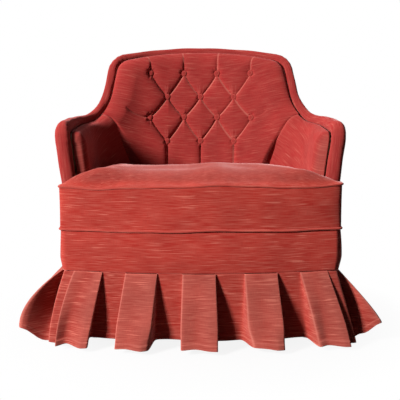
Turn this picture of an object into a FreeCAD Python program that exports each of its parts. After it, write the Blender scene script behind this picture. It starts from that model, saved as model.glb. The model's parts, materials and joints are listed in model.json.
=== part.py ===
import FreeCAD
import Part
import math
import os

# Crapaud armchair: round-backed low chair on a beech frame, buttoned back,
# loose T-shaped seat cushion and box-pleated skirt. Millimetres, +Z up, +Y to the back.

V = FreeCAD.Vector

# Clearances
FIT = 0.3                   # between layers that lie on each other
CURVE_FIT = 1.4             # between arm padding and the cloth behind it
BACK_FIT = 1.7              # between back padding and the cloth behind it
HOLE_FIT = 0.05             # dowel and bolt holes, on the radius
CUSHION_GAP = 1.5           # loose cushion to arms and back
ROLL_GAP = 0.8              # padded roll to the rail under it
WELT_FIT = 0.5              # piping to the boxing beside it
COVER_FIT = 0.5             # outside covers to the frame
WELT_SAG = 0.12             # most that a straight length of piping cuts a curve

# Legs and seat frame
GLIDE_HEIGHT = 6.0
GLIDE_RADIUS = 11.0
GLIDE_BEVEL = 2.0
NAIL_RADIUS = 2.0
NAIL_LENGTH = 15.0
LEG_LENGTH = 164.0
LEG_TOP = 46.0              # square legs, width at the seat
LEG_FOOT = 30.0
LEG_CHAMFER = 4.0
LEG_INSET = 32.0            # leg centre to the inner faces of the rails
REAR_LEG_RAKE = 22.0
BOLT_RADIUS = 4.0
BOLT_HALF = 40.0
RAIL_HEIGHT = 85.0
RAIL_THICK = 28.0
HALF_WIDTH = 323.0          # outer face of the side rails, also radius of the round back
SIDE_STRAIGHT = 189.0       # straight part of each side, front corner to round back
FRONT_BOW = 45.0
BACK_JOINT_ANGLE = 33.0     # joint of back rail and corner rail, from back centre
BLOCK_LEG = 110.0
BLOCK_HEIGHT = 45.0
REAR_LEG_ANGLE = 48.0
REAR_BLOCK_SPREAD = 15.0
REAR_BLOCK_DEPTH = 62.0
DOWEL_RADIUS = 5.0
DOWEL_HALF = 18.0
DOWEL_LEVELS = (0.3, 0.7)   # of the rail height

# Arm and back frame
FRAME_THICK = 25.0
ARM_SETBACK = 56.0          # arm front behind the front corner of the seat
ARM_RISE = 260.0            # roll centre above the seat rails at the arm front
FOOT_RISE = 284.0           # at the foot of the shoulder curve
SHOULDER_RISE = 446.0
CREST_RISE = 477.0
CREST_ANGLE = 16.2          # angles round the back, from its centre
SHOULDER_ANGLE = 41.0
FOOT_ANGLE = 53.5
CREST_BEND = 780.0
SHOULDER_BEND = 64.0
FOOT_BEND = 140.0
ARM_BEND = 36.0
LEAN_START = 45.0           # above the seat rails
LEAN_BLEND = 120.0
LEAN_ARM = 0.13
LEAN_BACK = 0.25
ROLL_BACK = 12.0            # roll radius along the crest
ROLL_ARM = 18.5             # roll radius at the arm fronts
ARM_FACE_GAP = 2.0          # arm frame front behind the roll
POST_ANGLE = 36.0
POST_WIDTH = 33.0
STUMP_WIDTH = 37.0
TOP_RAIL_HEIGHT = 45.0
ARM_RAIL_HEIGHT = 38.0
STAY_LIFT = 12.0
STAY_HEIGHT = 32.0
BACK_STEP = 67.0            # spacing of sections round the back
SHOULDER_STEP = 19.0        # on the shoulder curve
ARM_STEP = 62.0             # along the arm
SHOULDER_EASE = 32.0        # shoulder curve starts before its corner
FOOT_EASE = 86.0            # and ends in front of its foot
OUTER_SEAM = 22.0           # outside arm starts in front of the foot
ARM_END = 14.0              # last short section at the arm front

# Cloth and padding
COVER_THICK = 4.5
WEB_THICK = 1.8
WEB_WIDTH = 50.0
WEB_PITCH = 73.0
WEB_EASE = 4.0              # level part of a strap beyond the one it crosses
WEB_LONG = 5                # straps front to back
WEB_CROSS = 4
WEB_FIRST = 48.0            # first cross strap, in front of the round back's centre
BACK_WEB_SPREAD = 1.25      # spacing of the back straps, in button pitches
CLOTH_CUT = 2.0             # round stumps and posts
TURN_IN = 3.0               # cloth ends below the roll
HESSIAN_THICK = 1.2
DECK_PAD_THICK = 27.0
DECK_COVER_THICK = 1.5
DUST_THICK = 1.0
DUST_GAP = 1.5              # round the legs
PAD_BACK = 55.0
PAD_ARM = 30.0
PAD_SIDE = 36.0             # back padding beside the seam with the arm
PAD_FULL_ANGLE = 21.0       # back padding is full as far as this, from the back centre
PAD_TUCK = 4.0              # back padding ends inside the roll line
ARM_TUCK = 6.0              # arm padding ends inside the roll line
ARM_END_ROUND = 12.0        # rounding of the arm padding, front and top
ARM_SEAM_ROUND = 10.0
ARM_SEAT_ROUND = 5.0
ARM_ROUND_MOST = 16.0
SEAM_GAP = 1.2              # between inside arm and inside back
TUFT_DEPTH = 28.0
TUFT_SEAT = 0.6             # of the tuft depth, where pleats meet the seat
PUFF_EDGE = 2.0             # hollow between two puffs without a pleat
RIM_SPREAD = 6.0            # outer pleat leans out at the roll
RIM_CORNER = 12.0           # puff corner before the shoulder
PLEAT_DEPTH = 15.0
PAD_EDGE_DEPTH = 18.0
SEAM_ANGLE_LOW = 38.0       # seam of inside arm and inside back, at the seat
SEAM_ANGLE_HIGH = 57.1      # and at the roll
SEAM_CURVE = 2.5            # how late the seam turns outward
BUTTON_PITCH = 99.0
BUTTON_RADIUS = 8.5
BUTTON_HEIGHT = 7.0
BUTTON_EDGE = 0.3           # straight part of the height
BUTTON_ROWS = (410.0, 341.0, 281.0, 212.0)   # above the seat rails

# Seat cushion
CUSHION_BOX = 100.0
CUSHION_CROWN = 42.0
CUSHION_ROLLOVER = 70.0     # width over which the crown rises from the front edge
CUSHION_EAR = 95.0          # and from the ends of the ears
CUSHION_EDGE = 64.0         # and beside the arms and back
CUSHION_CREST = 40.0        # highest line, behind the arm fronts
CUSHION_FALL = 0.6          # share of the crown lost at the back
CUSHION_OVERHANG = 9.0
CUSHION_WAIST = 4.0
CUSHION_SKIN = 3.0
CUSHION_BACK_EASE = 3.0
WELT_RADIUS = 3.0
WELT_BEND = 5.0             # at the inner corners of the notches

# Skirt
SKIRT_HEADING = 12.0        # seam above the underside of the rails
HEM_LIFT = 13.0
SKIRT_CLOTH = 2.2
SKIRT_EASE = 0.8
PLEATS = 15
PLEAT_FACE = 82.0
PLEAT_STEP_TOP = 3.4
PLEAT_STEP_HEM = 30.0
FLARE_FRONT = 50.0
FLARE_SIDE = 132.0
FLARE_BACK = 62.0
FLARE_SPREAD = 0.05
CORNER_EDGE_OUT = 29.0      # hem of the front length's folded end, from the corner of the box
CORNER_EDGE_FRONT = 27.0
CORNER_FOLD_OUT = 14.0      # hem of the deep fold behind it
CORNER_FOLD_BACK = 80.0
CORNER_FOLD_TOP = 6.0
CORNER_MITRE = (1.14, 1.64)  # inner corner of the deep fold, in cloth thicknesses
PLEAT_TUCK = 3.0            # fold under each pleat edge at the hem
MITRE_MOST = 0.35

# Derived levels and lines
RAIL_LOW = GLIDE_HEIGHT + LEG_LENGTH
RAIL_TOP = RAIL_LOW + RAIL_HEIGHT
WEB_LOW = RAIL_TOP + FIT
WEB_HIGH = WEB_LOW + WEB_THICK + FIT
HESSIAN_Z = WEB_HIGH + WEB_THICK + FIT
PAD_Z = HESSIAN_Z + HESSIAN_THICK + FIT
DECK_COVER_Z = PAD_Z + DECK_PAD_THICK + FIT
SEAT_Z = DECK_COVER_Z + DECK_COVER_THICK + FIT
SEAM_Z = RAIL_LOW + SKIRT_HEADING
ROUND_Y = -73.0             # centre of the round back
CORNER_Y = ROUND_Y - SIDE_STRAIGHT
ARM_Y = CORNER_Y + ARM_SETBACK
INNER_X = HALF_WIDTH - RAIL_THICK
QUARTER = HALF_WIDTH * math.pi / 2
CREST_RUN = HALF_WIDTH * math.radians(CREST_ANGLE)      # runs along the base of the round back
SHOULDER_RUN = HALF_WIDTH * math.radians(SHOULDER_ANGLE)
FOOT_RUN = HALF_WIDTH * math.radians(FOOT_ANGLE)
POST_RUN = HALF_WIDTH * math.radians(POST_ANGLE)
PAD_FULL_RUN = HALF_WIDTH * math.radians(PAD_FULL_ANGLE)
SEAM_RUN_LOW = HALF_WIDTH * math.radians(SEAM_ANGLE_LOW)
SEAM_RUN_HIGH = HALF_WIDTH * math.radians(SEAM_ANGLE_HIGH)
RUN_END = QUARTER + ROUND_Y - ARM_Y
RUN_FACE = RUN_END - ROLL_ARM - ARM_FACE_GAP  # front face of the arm frame
LEAN_LEVELS = (RAIL_TOP + LEAN_START, RAIL_TOP + LEAN_START + LEAN_BLEND)
BOW_RADIUS = (HALF_WIDTH ** 2 + FRONT_BOW ** 2) / (2 * FRONT_BOW)
BOW_CENTRE = CORNER_Y - FRONT_BOW + BOW_RADIUS
PAD_BACK_O = -(FRAME_THICK + WEB_THICK + HESSIAN_THICK + 2 * FIT + BACK_FIT)
PAD_ARM_O = -(FRAME_THICK + HESSIAN_THICK + FIT + CURVE_FIT)
ROLL_FOOT = SEAT_Z - FIT
WELT_OUT = WELT_RADIUS + WELT_FIT

SHAPES = {}


# General helpers
def lean(z):
    h = z - RAIL_TOP - LEAN_START
    if h <= 0:
        return 0.0
    if h < LEAN_BLEND:
        return h * h / (2 * LEAN_BLEND)
    return h - LEAN_BLEND / 2


def plan(s):
    """Point and outward normal of the frame's outer face, s along it from the back centre."""
    side = -1 if s < 0 else 1
    t = abs(s)
    if t < QUARTER:
        a = t / HALF_WIDTH
        nx, ny = math.sin(a), math.cos(a)
        x, y = HALF_WIDTH * nx, ROUND_Y + HALF_WIDTH * ny
        turn = max(ny, 0.0) ** 1.2
    else:
        nx, ny, turn = 1.0, 0.0, 0.0
        x, y = HALF_WIDTH, ROUND_Y - (t - QUARTER)
    return side * x, y, side * nx, ny, LEAN_ARM + (LEAN_BACK - LEAN_ARM) * turn


def wall(s, z, o):
    """Point of the leaning wall: s round it, z up, o outward from the frame's outer face."""
    x, y, nx, ny, slope = plan(s)
    d = o + slope * lean(z)
    return V(x + nx * d, y + ny * d, z)


def wall_facing(s):
    """Direction from the wall towards the sitter, square to the leaning face."""
    nx, ny, slope = plan(s)[2:]
    d = V(-nx, -ny, slope)
    return d.normalize()


def blend(a, b, t):
    t = min(max(t, 0.0), 1.0)
    return a + (b - a) * t * t * (3 - 2 * t)


def pole_row(a, m, b):
    return [a, m * 2 - (a + b) * 0.5, b]


def patch(grid):
    """Face through a 3 x n grid of points, n 2 or 3."""
    rows = [pole_row(*r) if len(r) == 3 else list(r) for r in grid]
    cols = [pole_row(*[rows[i][j] for i in range(3)]) for j in range(len(rows[0]))]
    surface = Part.BezierSurface()
    surface.increase(2, len(cols) - 1)
    for j, col in enumerate(cols):
        for i, pole in enumerate(col):
            surface.setPole(i + 1, j + 1, pole)
    return surface.toShape()


def solid_of(faces):
    shell = Part.Compound(faces)
    shell.sewShape()
    solid = Part.Solid(shell.Shells[0] if shell.ShapeType != "Shell" else shell)
    if solid.Volume < 0:
        solid.reverse()
    return solid


def quilt(cells, front, back, waist=None):
    """Padded solid: each cell is a 3 x 3 grid of nodes, front and back give their points."""
    faces = []
    edges = {}
    for cell in cells:
        faces.append(patch([[front(*n) for n in row] for row in cell]))
        faces.append(patch([[back(*n) for n in row] for row in cell]))
        rim = (cell[0], [r[2] for r in cell], cell[2], [r[0] for r in cell])
        for edge in rim:
            key = frozenset((round(n[0], 3), round(n[1], 3)) for n in edge)
            edges.setdefault(key, []).append(edge)
    for sharing in edges.values():
        if len(sharing) == 1:
            edge = sharing[0]
            if waist:
                grid = [[front(*n), waist(*n), back(*n)] for n in edge]
            else:
                grid = [[front(*n), back(*n)] for n in edge]
            faces.append(patch(grid))
    return solid_of(faces)


def slab(stations, low, high, inner, outer):
    """Panel of the wall between two offsets, low(s) to high(s), divided where the lean changes."""
    base, top = max(low(s) for s in stations), min(high(s) for s in stations)
    breaks = [z for z in LEAN_LEVELS if base < z < top]

    def column(s):
        return [low(s)] + breaks + [high(s)]

    cells = []
    for s0, s1 in zip(stations, stations[1:]):
        columns = [(s, column(s)) for s in (s0, (s0 + s1) / 2, s1)]
        for i in range(len(breaks) + 1):
            cells.append([[(s, z[i], 0), (s, (z[i] + z[i + 1]) / 2, 0), (s, z[i + 1], 0)]
                          for s, z in columns])
    return quilt(cells, lambda s, z, w: wall(s, z, inner), lambda s, z, w: wall(s, z, outer))


def ring(centre, across, third, radius):
    """Round wire of four arcs about a centre, in the plane of two directions."""
    pts = []
    for k in range(8):
        a = k * math.pi / 4
        pts.append(centre + across * (radius * math.cos(a)) + third * (radius * math.sin(a)))
    pts.append(pts[0])
    return Part.Wire([arc(*pts[k:k + 3]) for k in (0, 2, 4, 6)])


def tube(sections):
    return Part.makeLoft([ring(*section) for section in sections], True, True)


def level(z):
    return lambda s: z


def face_of(edges):
    return Part.Face(Part.Wire(edges))


def arc(a, m, b):
    return Part.Arc(a, m, b).toShape()


def line(a, b):
    return Part.makeLine(a, b)


def lift(face, height):
    return face.extrude(V(0, 0, height))


def mirrored(shape):
    return shape.mirror(V(0, 0, 0), V(1, 0, 0))


def keep(name, shape):
    SHAPES[name] = shape


def keep_pair(left, right, shape):
    keep(right, shape)
    keep(left, mirrored(shape))


# Line of the padded roll, as run s and height z
def rim_line(step=3.0):
    pts = [(0.0, RAIL_TOP + CREST_RISE), (CREST_RUN, RAIL_TOP + CREST_RISE),
           (SHOULDER_RUN, RAIL_TOP + SHOULDER_RISE), (FOOT_RUN, RAIL_TOP + FOOT_RISE),
           (RUN_END, RAIL_TOP + ARM_RISE), (RUN_END, ROLL_FOOT)]
    bends = (CREST_BEND, SHOULDER_BEND, FOOT_BEND, ARM_BEND)
    out = []
    last = pts[0]
    for (p0, p1, p2), radius in zip(zip(pts, pts[1:], pts[2:]), bends):
        a = math.atan2(p1[1] - p0[1], p1[0] - p0[0])
        b = math.atan2(p2[1] - p1[1], p2[0] - p1[0])
        turn = b - a
        sign = 1 if turn > 0 else -1
        trim = radius * math.tan(abs(turn) / 2)
        start = (p1[0] - trim * math.cos(a), p1[1] - trim * math.sin(a))
        out += run_points(last, start, a, step)
        centre = (start[0] - sign * radius * math.sin(a), start[1] + sign * radius * math.cos(a))
        count = max(4, int(abs(turn) * radius / step))
        for i in range(count):
            t = a + turn * i / count
            out.append((centre[0] + sign * radius * math.sin(t),
                        centre[1] - sign * radius * math.cos(t), t))
        last = (p1[0] + trim * math.cos(b), p1[1] + trim * math.sin(b))
        heading = b
    out += run_points(last, pts[-1], heading, step)
    out.append((pts[-1][0], pts[-1][1], heading))
    return out


def run_points(p, q, heading, step):
    count = max(1, int(math.hypot(q[0] - p[0], q[1] - p[1]) / step))
    return [(p[0] + (q[0] - p[0]) * i / count, p[1] + (q[1] - p[1]) * i / count, heading)
            for i in range(count)]


def roll_radius(s):
    return blend(ROLL_BACK, ROLL_ARM, (s - FOOT_RUN) / (RUN_END - FOOT_RUN))


def rim_inside(distance=None):
    """The rim line moved inward, by a distance or to the underside of the roll."""
    out = []
    for s, z, t in RIM:
        d = roll_radius(s) + ROLL_GAP if distance is None else distance
        out.append((s + d * math.sin(t), z - d * math.cos(t)))
    return out


def height_on(path, s):
    s = abs(s)
    best = path[0][1]
    for (s0, z0), (s1, z1) in zip(path, path[1:]):
        if s0 <= s <= s1 and s1 > s0:
            return z0 + (z1 - z0) * (s - s0) / (s1 - s0)
        if s1 <= s:
            best = z1
    return best


def lengths(path):
    out = [0.0]
    for a, b in zip(path, path[1:]):
        out.append(out[-1] + math.hypot(b[0] - a[0], b[1] - a[1]))
    return out


def point_on(path, table, p):
    for i in range(len(path) - 1):
        if table[i] <= p <= table[i + 1]:
            t = (p - table[i]) / max(table[i + 1] - table[i], 1e-9)
            return tuple(path[i][k] + (path[i + 1][k] - path[i][k]) * t for k in (0, 1))
    return path[-1][:2]


def length_at(path, table, s):
    for i in range(len(path) - 1):
        if path[i][0] <= s <= path[i + 1][0] and path[i + 1][0] > path[i][0]:
            t = (s - path[i][0]) / (path[i + 1][0] - path[i][0])
            return table[i] + (table[i + 1] - table[i]) * t
    return table[-1]


RIM = rim_line()
UNDER_ROLL = rim_inside()


def frame_top(s):
    return height_on(UNDER_ROLL, s)


def arm_line(s):
    t = (abs(s) - FOOT_RUN) / (RUN_END - FOOT_RUN)
    return RAIL_TOP + FOOT_RISE + (ARM_RISE - FOOT_RISE) * t


# Seat frame
def bow_y(x, o):
    r = BOW_RADIUS + o
    return BOW_CENTRE - math.sqrt(r * r - x * x)


def seat_outline(o, z):
    """Plan outline of the seat box moved outward by o, with the bowed front."""
    x = HALF_WIDTH + o
    fy = bow_y(x, o)
    c = math.sqrt(0.5)
    return face_of([
        arc(V(-x, fy, z), V(0, bow_y(0, o), z), V(x, fy, z)),
        line(V(x, fy, z), V(x, ROUND_Y, z)),
        arc(V(x, ROUND_Y, z), V(x * c, ROUND_Y + x * c, z), V(0, ROUND_Y + x, z)),
        arc(V(0, ROUND_Y + x, z), V(-x * c, ROUND_Y + x * c, z), V(-x, ROUND_Y, z)),
        line(V(-x, ROUND_Y, z), V(-x, fy, z))])


def polar(radius, angle, z):
    a = math.radians(angle)
    return V(radius * math.sin(a), ROUND_Y + radius * math.cos(a), z)


def sector(r0, r1, a0, a1, z, height):
    am = (a0 + a1) / 2
    return lift(face_of([
        arc(polar(r1, a0, z), polar(r1, am, z), polar(r1, a1, z)),
        line(polar(r1, a1, z), polar(r0, a1, z)),
        arc(polar(r0, a1, z), polar(r0, am, z), polar(r0, a0, z)),
        line(polar(r0, a0, z), polar(r1, a0, z))]), height)


def front_rail():
    x, z, t = INNER_X, RAIL_LOW, -RAIL_THICK
    return lift(face_of([
        arc(V(-x, bow_y(x, 0), z), V(0, bow_y(0, 0), z), V(x, bow_y(x, 0), z)),
        line(V(x, bow_y(x, 0), z), V(x, bow_y(x, t), z)),
        arc(V(x, bow_y(x, t), z), V(0, bow_y(0, t), z), V(-x, bow_y(x, t), z)),
        line(V(-x, bow_y(x, t), z), V(-x, bow_y(x, 0), z))]), RAIL_HEIGHT)


def side_rail():
    a, b, z = INNER_X, HALF_WIDTH, RAIL_LOW
    m = (a + b) / 2
    return lift(face_of([
        arc(V(a, bow_y(a, 0), z), V(m, bow_y(m, 0), z), V(b, bow_y(b, 0), z)),
        line(V(b, bow_y(b, 0), z), V(b, ROUND_Y, z)),
        line(V(b, ROUND_Y, z), V(a, ROUND_Y, z)),
        line(V(a, ROUND_Y, z), V(a, bow_y(a, 0), z))]), RAIL_HEIGHT)


def front_block():
    x, z, t = INNER_X, RAIL_LOW, -RAIL_THICK
    far, mid = x - BLOCK_LEG, x - BLOCK_LEG / 2
    corner = V(x, bow_y(x, t), z)
    return lift(face_of([
        line(corner, V(x, corner.y + BLOCK_LEG, z)),
        line(V(x, corner.y + BLOCK_LEG, z), V(far, bow_y(far, t), z)),
        arc(V(far, bow_y(far, t), z), V(mid, bow_y(mid, t), z), corner)]), BLOCK_HEIGHT)


def rear_block():
    r, z = HALF_WIDTH - RAIL_THICK, RAIL_LOW
    a0, a1 = REAR_LEG_ANGLE - REAR_BLOCK_SPREAD, REAR_LEG_ANGLE + REAR_BLOCK_SPREAD
    p, q = polar(r, a0, z), polar(r, a1, z)
    m, n = polar(r - REAR_BLOCK_DEPTH, a1, z), polar(r - REAR_BLOCK_DEPTH, a0, z)
    return lift(face_of([arc(p, polar(r, REAR_LEG_ANGLE, z), q), line(q, m), line(m, n), line(n, p)]),
                BLOCK_HEIGHT)


def leg_places():
    """Top centre and foot centre of the right front and right rear legs."""
    fx = INNER_X - LEG_INSET
    fy = bow_y(INNER_X, -RAIL_THICK) + LEG_INSET
    rear = polar(INNER_X - LEG_INSET, REAR_LEG_ANGLE, RAIL_LOW)
    out = polar(INNER_X - LEG_INSET + REAR_LEG_RAKE, REAR_LEG_ANGLE, GLIDE_HEIGHT)
    return (V(fx, fy, RAIL_LOW), V(fx, fy, GLIDE_HEIGHT)), (rear, out)


def rod(base, direction, radius, length):
    return Part.makeCylinder(radius, length, base, direction)


def square(centre, width):
    """Square outline with cut corners, level."""
    h, c = width / 2, width / 2 - LEG_CHAMFER
    corners = ((h, -c), (h, c), (c, h), (-c, h), (-h, c), (-h, -c), (-c, -h), (c, -h))
    pts = [centre + V(x, y, 0) for x, y in corners]
    return Part.makePolygon(pts + pts[:1])


def leg(top, foot):
    tapered = Part.makeLoft([square(foot, LEG_FOOT), square(top, LEG_TOP)], True, True)
    bolt = rod(top - V(0, 0, BOLT_HALF), V(0, 0, 1), BOLT_RADIUS + HOLE_FIT, BOLT_HALF + 1)
    nail = rod(foot - V(0, 0, 1), V(0, 0, 1), NAIL_RADIUS + HOLE_FIT, NAIL_LENGTH + 2)
    return tapered.cut(bolt).cut(nail)


def glide(foot):
    bevel = GLIDE_BEVEL
    base = V(foot.x, foot.y, 0)
    dome = Part.makeCone(GLIDE_RADIUS - bevel, GLIDE_RADIUS, bevel, base)
    disc = rod(base + V(0, 0, bevel), V(0, 0, 1), GLIDE_RADIUS, GLIDE_HEIGHT - bevel)
    nail = rod(base + V(0, 0, GLIDE_HEIGHT), V(0, 0, 1), NAIL_RADIUS, NAIL_LENGTH)
    return dome.fuse(disc).fuse(nail).removeSplitter()


def dowel_places():
    """Middle point and direction of each dowel on the right side."""
    mid = HALF_WIDTH - RAIL_THICK / 2
    out = []
    for z in [RAIL_LOW + RAIL_HEIGHT * f for f in DOWEL_LEVELS]:
        out.append((V(INNER_X, bow_y(INNER_X, -RAIL_THICK / 2), z), V(1, 0, 0)))
        out.append((V(mid, ROUND_Y, z), V(0, 1, 0)))
        a = math.radians(BACK_JOINT_ANGLE)
        out.append((polar(mid, BACK_JOINT_ANGLE, z), V(math.cos(a), -math.sin(a), 0)))
    for s in (RUN_FACE - STUMP_WIDTH / 2, POST_RUN + POST_WIDTH / 2):
        foot = wall(s, RAIL_TOP, -FRAME_THICK / 2)
        out.append((foot, V(0, 0, 1)))
    return out


def dowels(extra):
    rods = [rod(p - d * DOWEL_HALF, d, DOWEL_RADIUS + extra, 2 * DOWEL_HALF) for p, d in dowel_places()]
    return Part.Compound(rods + [mirrored(r) for r in rods])


def seat_frame():
    holes = dowels(HOLE_FIT)
    keep("front_seat_rail", front_rail().cut(holes))
    keep_pair("left_seat_rail", "right_seat_rail", side_rail().cut(holes))
    inner, outer = HALF_WIDTH - RAIL_THICK, HALF_WIDTH
    j = BACK_JOINT_ANGLE
    corner = sector(inner, outer, j, 90, RAIL_LOW, RAIL_HEIGHT)
    keep_pair("left_corner_rail", "right_corner_rail", corner.cut(holes))
    keep("back_seat_rail", sector(inner, outer, -j, j, RAIL_LOW, RAIL_HEIGHT).cut(holes))
    keep("frame_dowels", dowels(0))
    front, rear = leg_places()
    blocks, bolts, glides = [], [], []
    for block, (top, foot) in ((front_block(), front), (rear_block(), rear)):
        bore = rod(top - V(0, 0, 1), V(0, 0, 1), BOLT_RADIUS + HOLE_FIT, BOLT_HALF + 1)
        blocks.append(block.cut(bore))
        bolts.append(rod(top - V(0, 0, BOLT_HALF), V(0, 0, 1), BOLT_RADIUS, 2 * BOLT_HALF))
        glides.append(glide(foot))
    keep("corner_blocks", Part.Compound(blocks + [mirrored(b) for b in blocks]))
    keep("leg_bolts", Part.Compound(bolts + [mirrored(b) for b in bolts]))
    keep("leg_glides", Part.Compound(glides + [mirrored(b) for b in glides]))
    keep_pair("front_left_leg", "front_right_leg", leg(*front))
    keep_pair("rear_left_leg", "rear_right_leg", leg(*rear))


# Arm and back frame
def spaced(a, b, step):
    count = max(1, int(math.ceil(abs(b - a) / step)))
    return [a + (b - a) * i / count for i in range(count + 1)]


def crest_stations():
    half = spaced(0.0, POST_RUN, BACK_STEP + 1)
    return [-s for s in reversed(half[1:])] + half


def shoulder_stations(start):
    """Stations from the back post to the arm front, close together on the curves."""
    out = spaced(start, FOOT_RUN + FOOT_EASE, SHOULDER_STEP)
    return out + arm_stations(FOOT_RUN + FOOT_EASE)[1:]


def arm_stations(start):
    return spaced(start, RUN_FACE - ARM_END, ARM_STEP) + [RUN_FACE]


def wall_frame():
    post_end = POST_RUN + POST_WIDTH
    holes = dowels(HOLE_FIT)
    stump_back = RUN_FACE - STUMP_WIDTH

    def arm_low(s):
        return arm_line(s) - ROLL_ARM - ROLL_GAP - ARM_RAIL_HEIGHT

    def top_low(s):
        return frame_top(s) - TOP_RAIL_HEIGHT

    stump = slab([stump_back, RUN_FACE], level(RAIL_TOP), arm_low, -FRAME_THICK, 0)
    keep_pair("left_arm_stump", "right_arm_stump", stump.cut(holes))
    post_stations = spaced(POST_RUN, post_end, SHOULDER_STEP / 2)
    post = slab(post_stations, level(RAIL_TOP), frame_top, -FRAME_THICK, 0)
    keep_pair("left_back_post", "right_back_post", post.cut(holes))
    rail = slab(shoulder_stations(post_end), arm_low, frame_top, -FRAME_THICK, 0)
    keep_pair("left_arm_rail", "right_arm_rail", rail)
    keep("back_top_rail", slab(crest_stations(), top_low, frame_top, -FRAME_THICK, 0))
    low, high = level(RAIL_TOP + STAY_LIFT), level(RAIL_TOP + STAY_LIFT + STAY_HEIGHT)
    arm_stay = spaced(post_end, stump_back, BACK_STEP)
    keep_pair("left_arm_stay_rail", "right_arm_stay_rail", slab(arm_stay, low, high, -FRAME_THICK, 0))
    keep("back_stay_rail", slab(crest_stations(), low, high, -FRAME_THICK, 0))


# Webbing, hessian and seat deck
def woven_strip(start, end, crossings, first):
    """Side profile of a strap that passes over and under the straps it crosses."""
    flat = WEB_WIDTH / 2 + WEB_EASE
    upper = []
    levels = [WEB_HIGH if (i + first) % 2 else WEB_LOW for i in range(len(crossings))]
    upper.append((start, WEB_LOW))
    for c, z in zip(crossings, levels):
        upper += [(c - flat, z), (c + flat, z)]
    upper.append((end, WEB_LOW))
    return upper


def strap(profile, across, along_x):
    def p(u, z, w):
        return V(u, w, z) if along_x else V(w, u, z)
    outline = profile + [(u, z + WEB_THICK) for u, z in reversed(profile)]
    pts = [p(u, z, across - WEB_WIDTH / 2) for u, z in outline]
    face = Part.Face(Part.makePolygon(pts + pts[:1]))
    return face.extrude(V(0, WEB_WIDTH, 0) if along_x else V(WEB_WIDTH, 0, 0))


def seat_webbing():
    mid = HALF_WIDTH - RAIL_THICK / 2
    xs = [(i - WEB_LONG // 2) * WEB_PITCH for i in range(WEB_LONG)]
    ys = [ROUND_Y - WEB_FIRST + i * WEB_PITCH for i in range(WEB_CROSS)]
    straps = []
    for i, x in enumerate(xs):
        far = abs(x) + WEB_WIDTH / 2
        end = ROUND_Y + math.sqrt(mid * mid - far * far)
        straps.append(strap(woven_strip(bow_y(far, -RAIL_THICK / 2), end, ys, i), x, False))
    for j, y in enumerate(ys):
        back = max(y + WEB_WIDTH / 2 - ROUND_Y, 0)
        end = math.sqrt(mid * mid - back * back)
        straps.append(strap(woven_strip(-end, end, xs, j + 1), y, True))
    return Part.Compound(straps)


def wall_clearance():
    """Blocks to clear round the stumps and posts where cloth passes them."""
    out = []
    for s0, s1 in ((RUN_FACE - STUMP_WIDTH, RUN_FACE), (POST_RUN, POST_RUN + POST_WIDTH)):
        low, high = level(RAIL_TOP - 1), level(RAIL_TOP + LEAN_START)
        cut = slab([s0 - CLOTH_CUT, s1 + CLOTH_CUT], low, high, -FRAME_THICK - CLOTH_CUT, FRAME_THICK)
        out += [cut, mirrored(cut)]
    return Part.Compound(out)


def seat_hessian():
    sheet = lift(seat_outline(-RAIL_THICK / 4, HESSIAN_Z), HESSIAN_THICK)
    return sheet.cut(wall_clearance())


def tee(front, notch, body, back, z):
    """T-shaped seat outline: offset of the bowed front, notch line, half width, back radius centre."""
    x = HALF_WIDTH + front
    fy = bow_y(x, front)
    c = math.sqrt(0.5)
    return [
        arc(V(-x, fy, z), V(0, bow_y(0, front), z), V(x, fy, z)),
        line(V(x, fy, z), V(x, notch, z)), line(V(x, notch, z), V(body, notch, z)),
        line(V(body, notch, z), V(body, back, z)),
        arc(V(body, back, z), V(body * c, back + body * c, z), V(0, back + body, z)),
        arc(V(0, back + body, z), V(-body * c, back + body * c, z), V(-body, back, z)),
        line(V(-body, back, z), V(-body, notch, z)), line(V(-body, notch, z), V(-x, notch, z)),
        line(V(-x, notch, z), V(-x, fy, z))]


def seat_body():
    """Half width and back circle centre of the space between the arms, at the seat."""
    half = HALF_WIDTH + PAD_ARM_O - PAD_ARM - CUSHION_GAP - 2 * WELT_OUT
    back = ROUND_Y + HALF_WIDTH + PAD_BACK_O - PAD_BACK - CUSHION_GAP - 2 * WELT_OUT - CUSHION_BACK_EASE
    return half, back - half


def deck():
    half, centre = seat_body()
    notch = ARM_Y - SEAM_GAP
    pad = lift(face_of(tee(-FIT, notch, half, centre, PAD_Z)), DECK_PAD_THICK)
    keep("seat_deck_pad", pad)
    cover = lift(face_of(tee(-FIT, notch, half, centre, DECK_COVER_Z)), DECK_COVER_THICK)
    keep("deck_cover", cover)


def dust_cover():
    sheet = lift(seat_outline(-RAIL_THICK / 4, RAIL_LOW - FIT - DUST_THICK), DUST_THICK)
    for top, foot in leg_places():
        slot = LEG_TOP + 2 * DUST_GAP
        corner = V(top.x - slot / 2, top.y - slot / 2, GLIDE_HEIGHT)
        hole = Part.makeBox(slot, slot, LEG_LENGTH, corner)
        sheet = sheet.cut(hole).cut(mirrored(hole))
    return sheet


def seam_run(z):
    """Run of the seam of inside arm and inside back at a height."""
    t = (z - PAD_Z) / (height_on(rim_inside(ARM_TUCK), SEAM_RUN_HIGH) - PAD_Z)
    return SEAM_RUN_LOW + (SEAM_RUN_HIGH - SEAM_RUN_LOW) * max(t, 0.0) ** SEAM_CURVE


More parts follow.
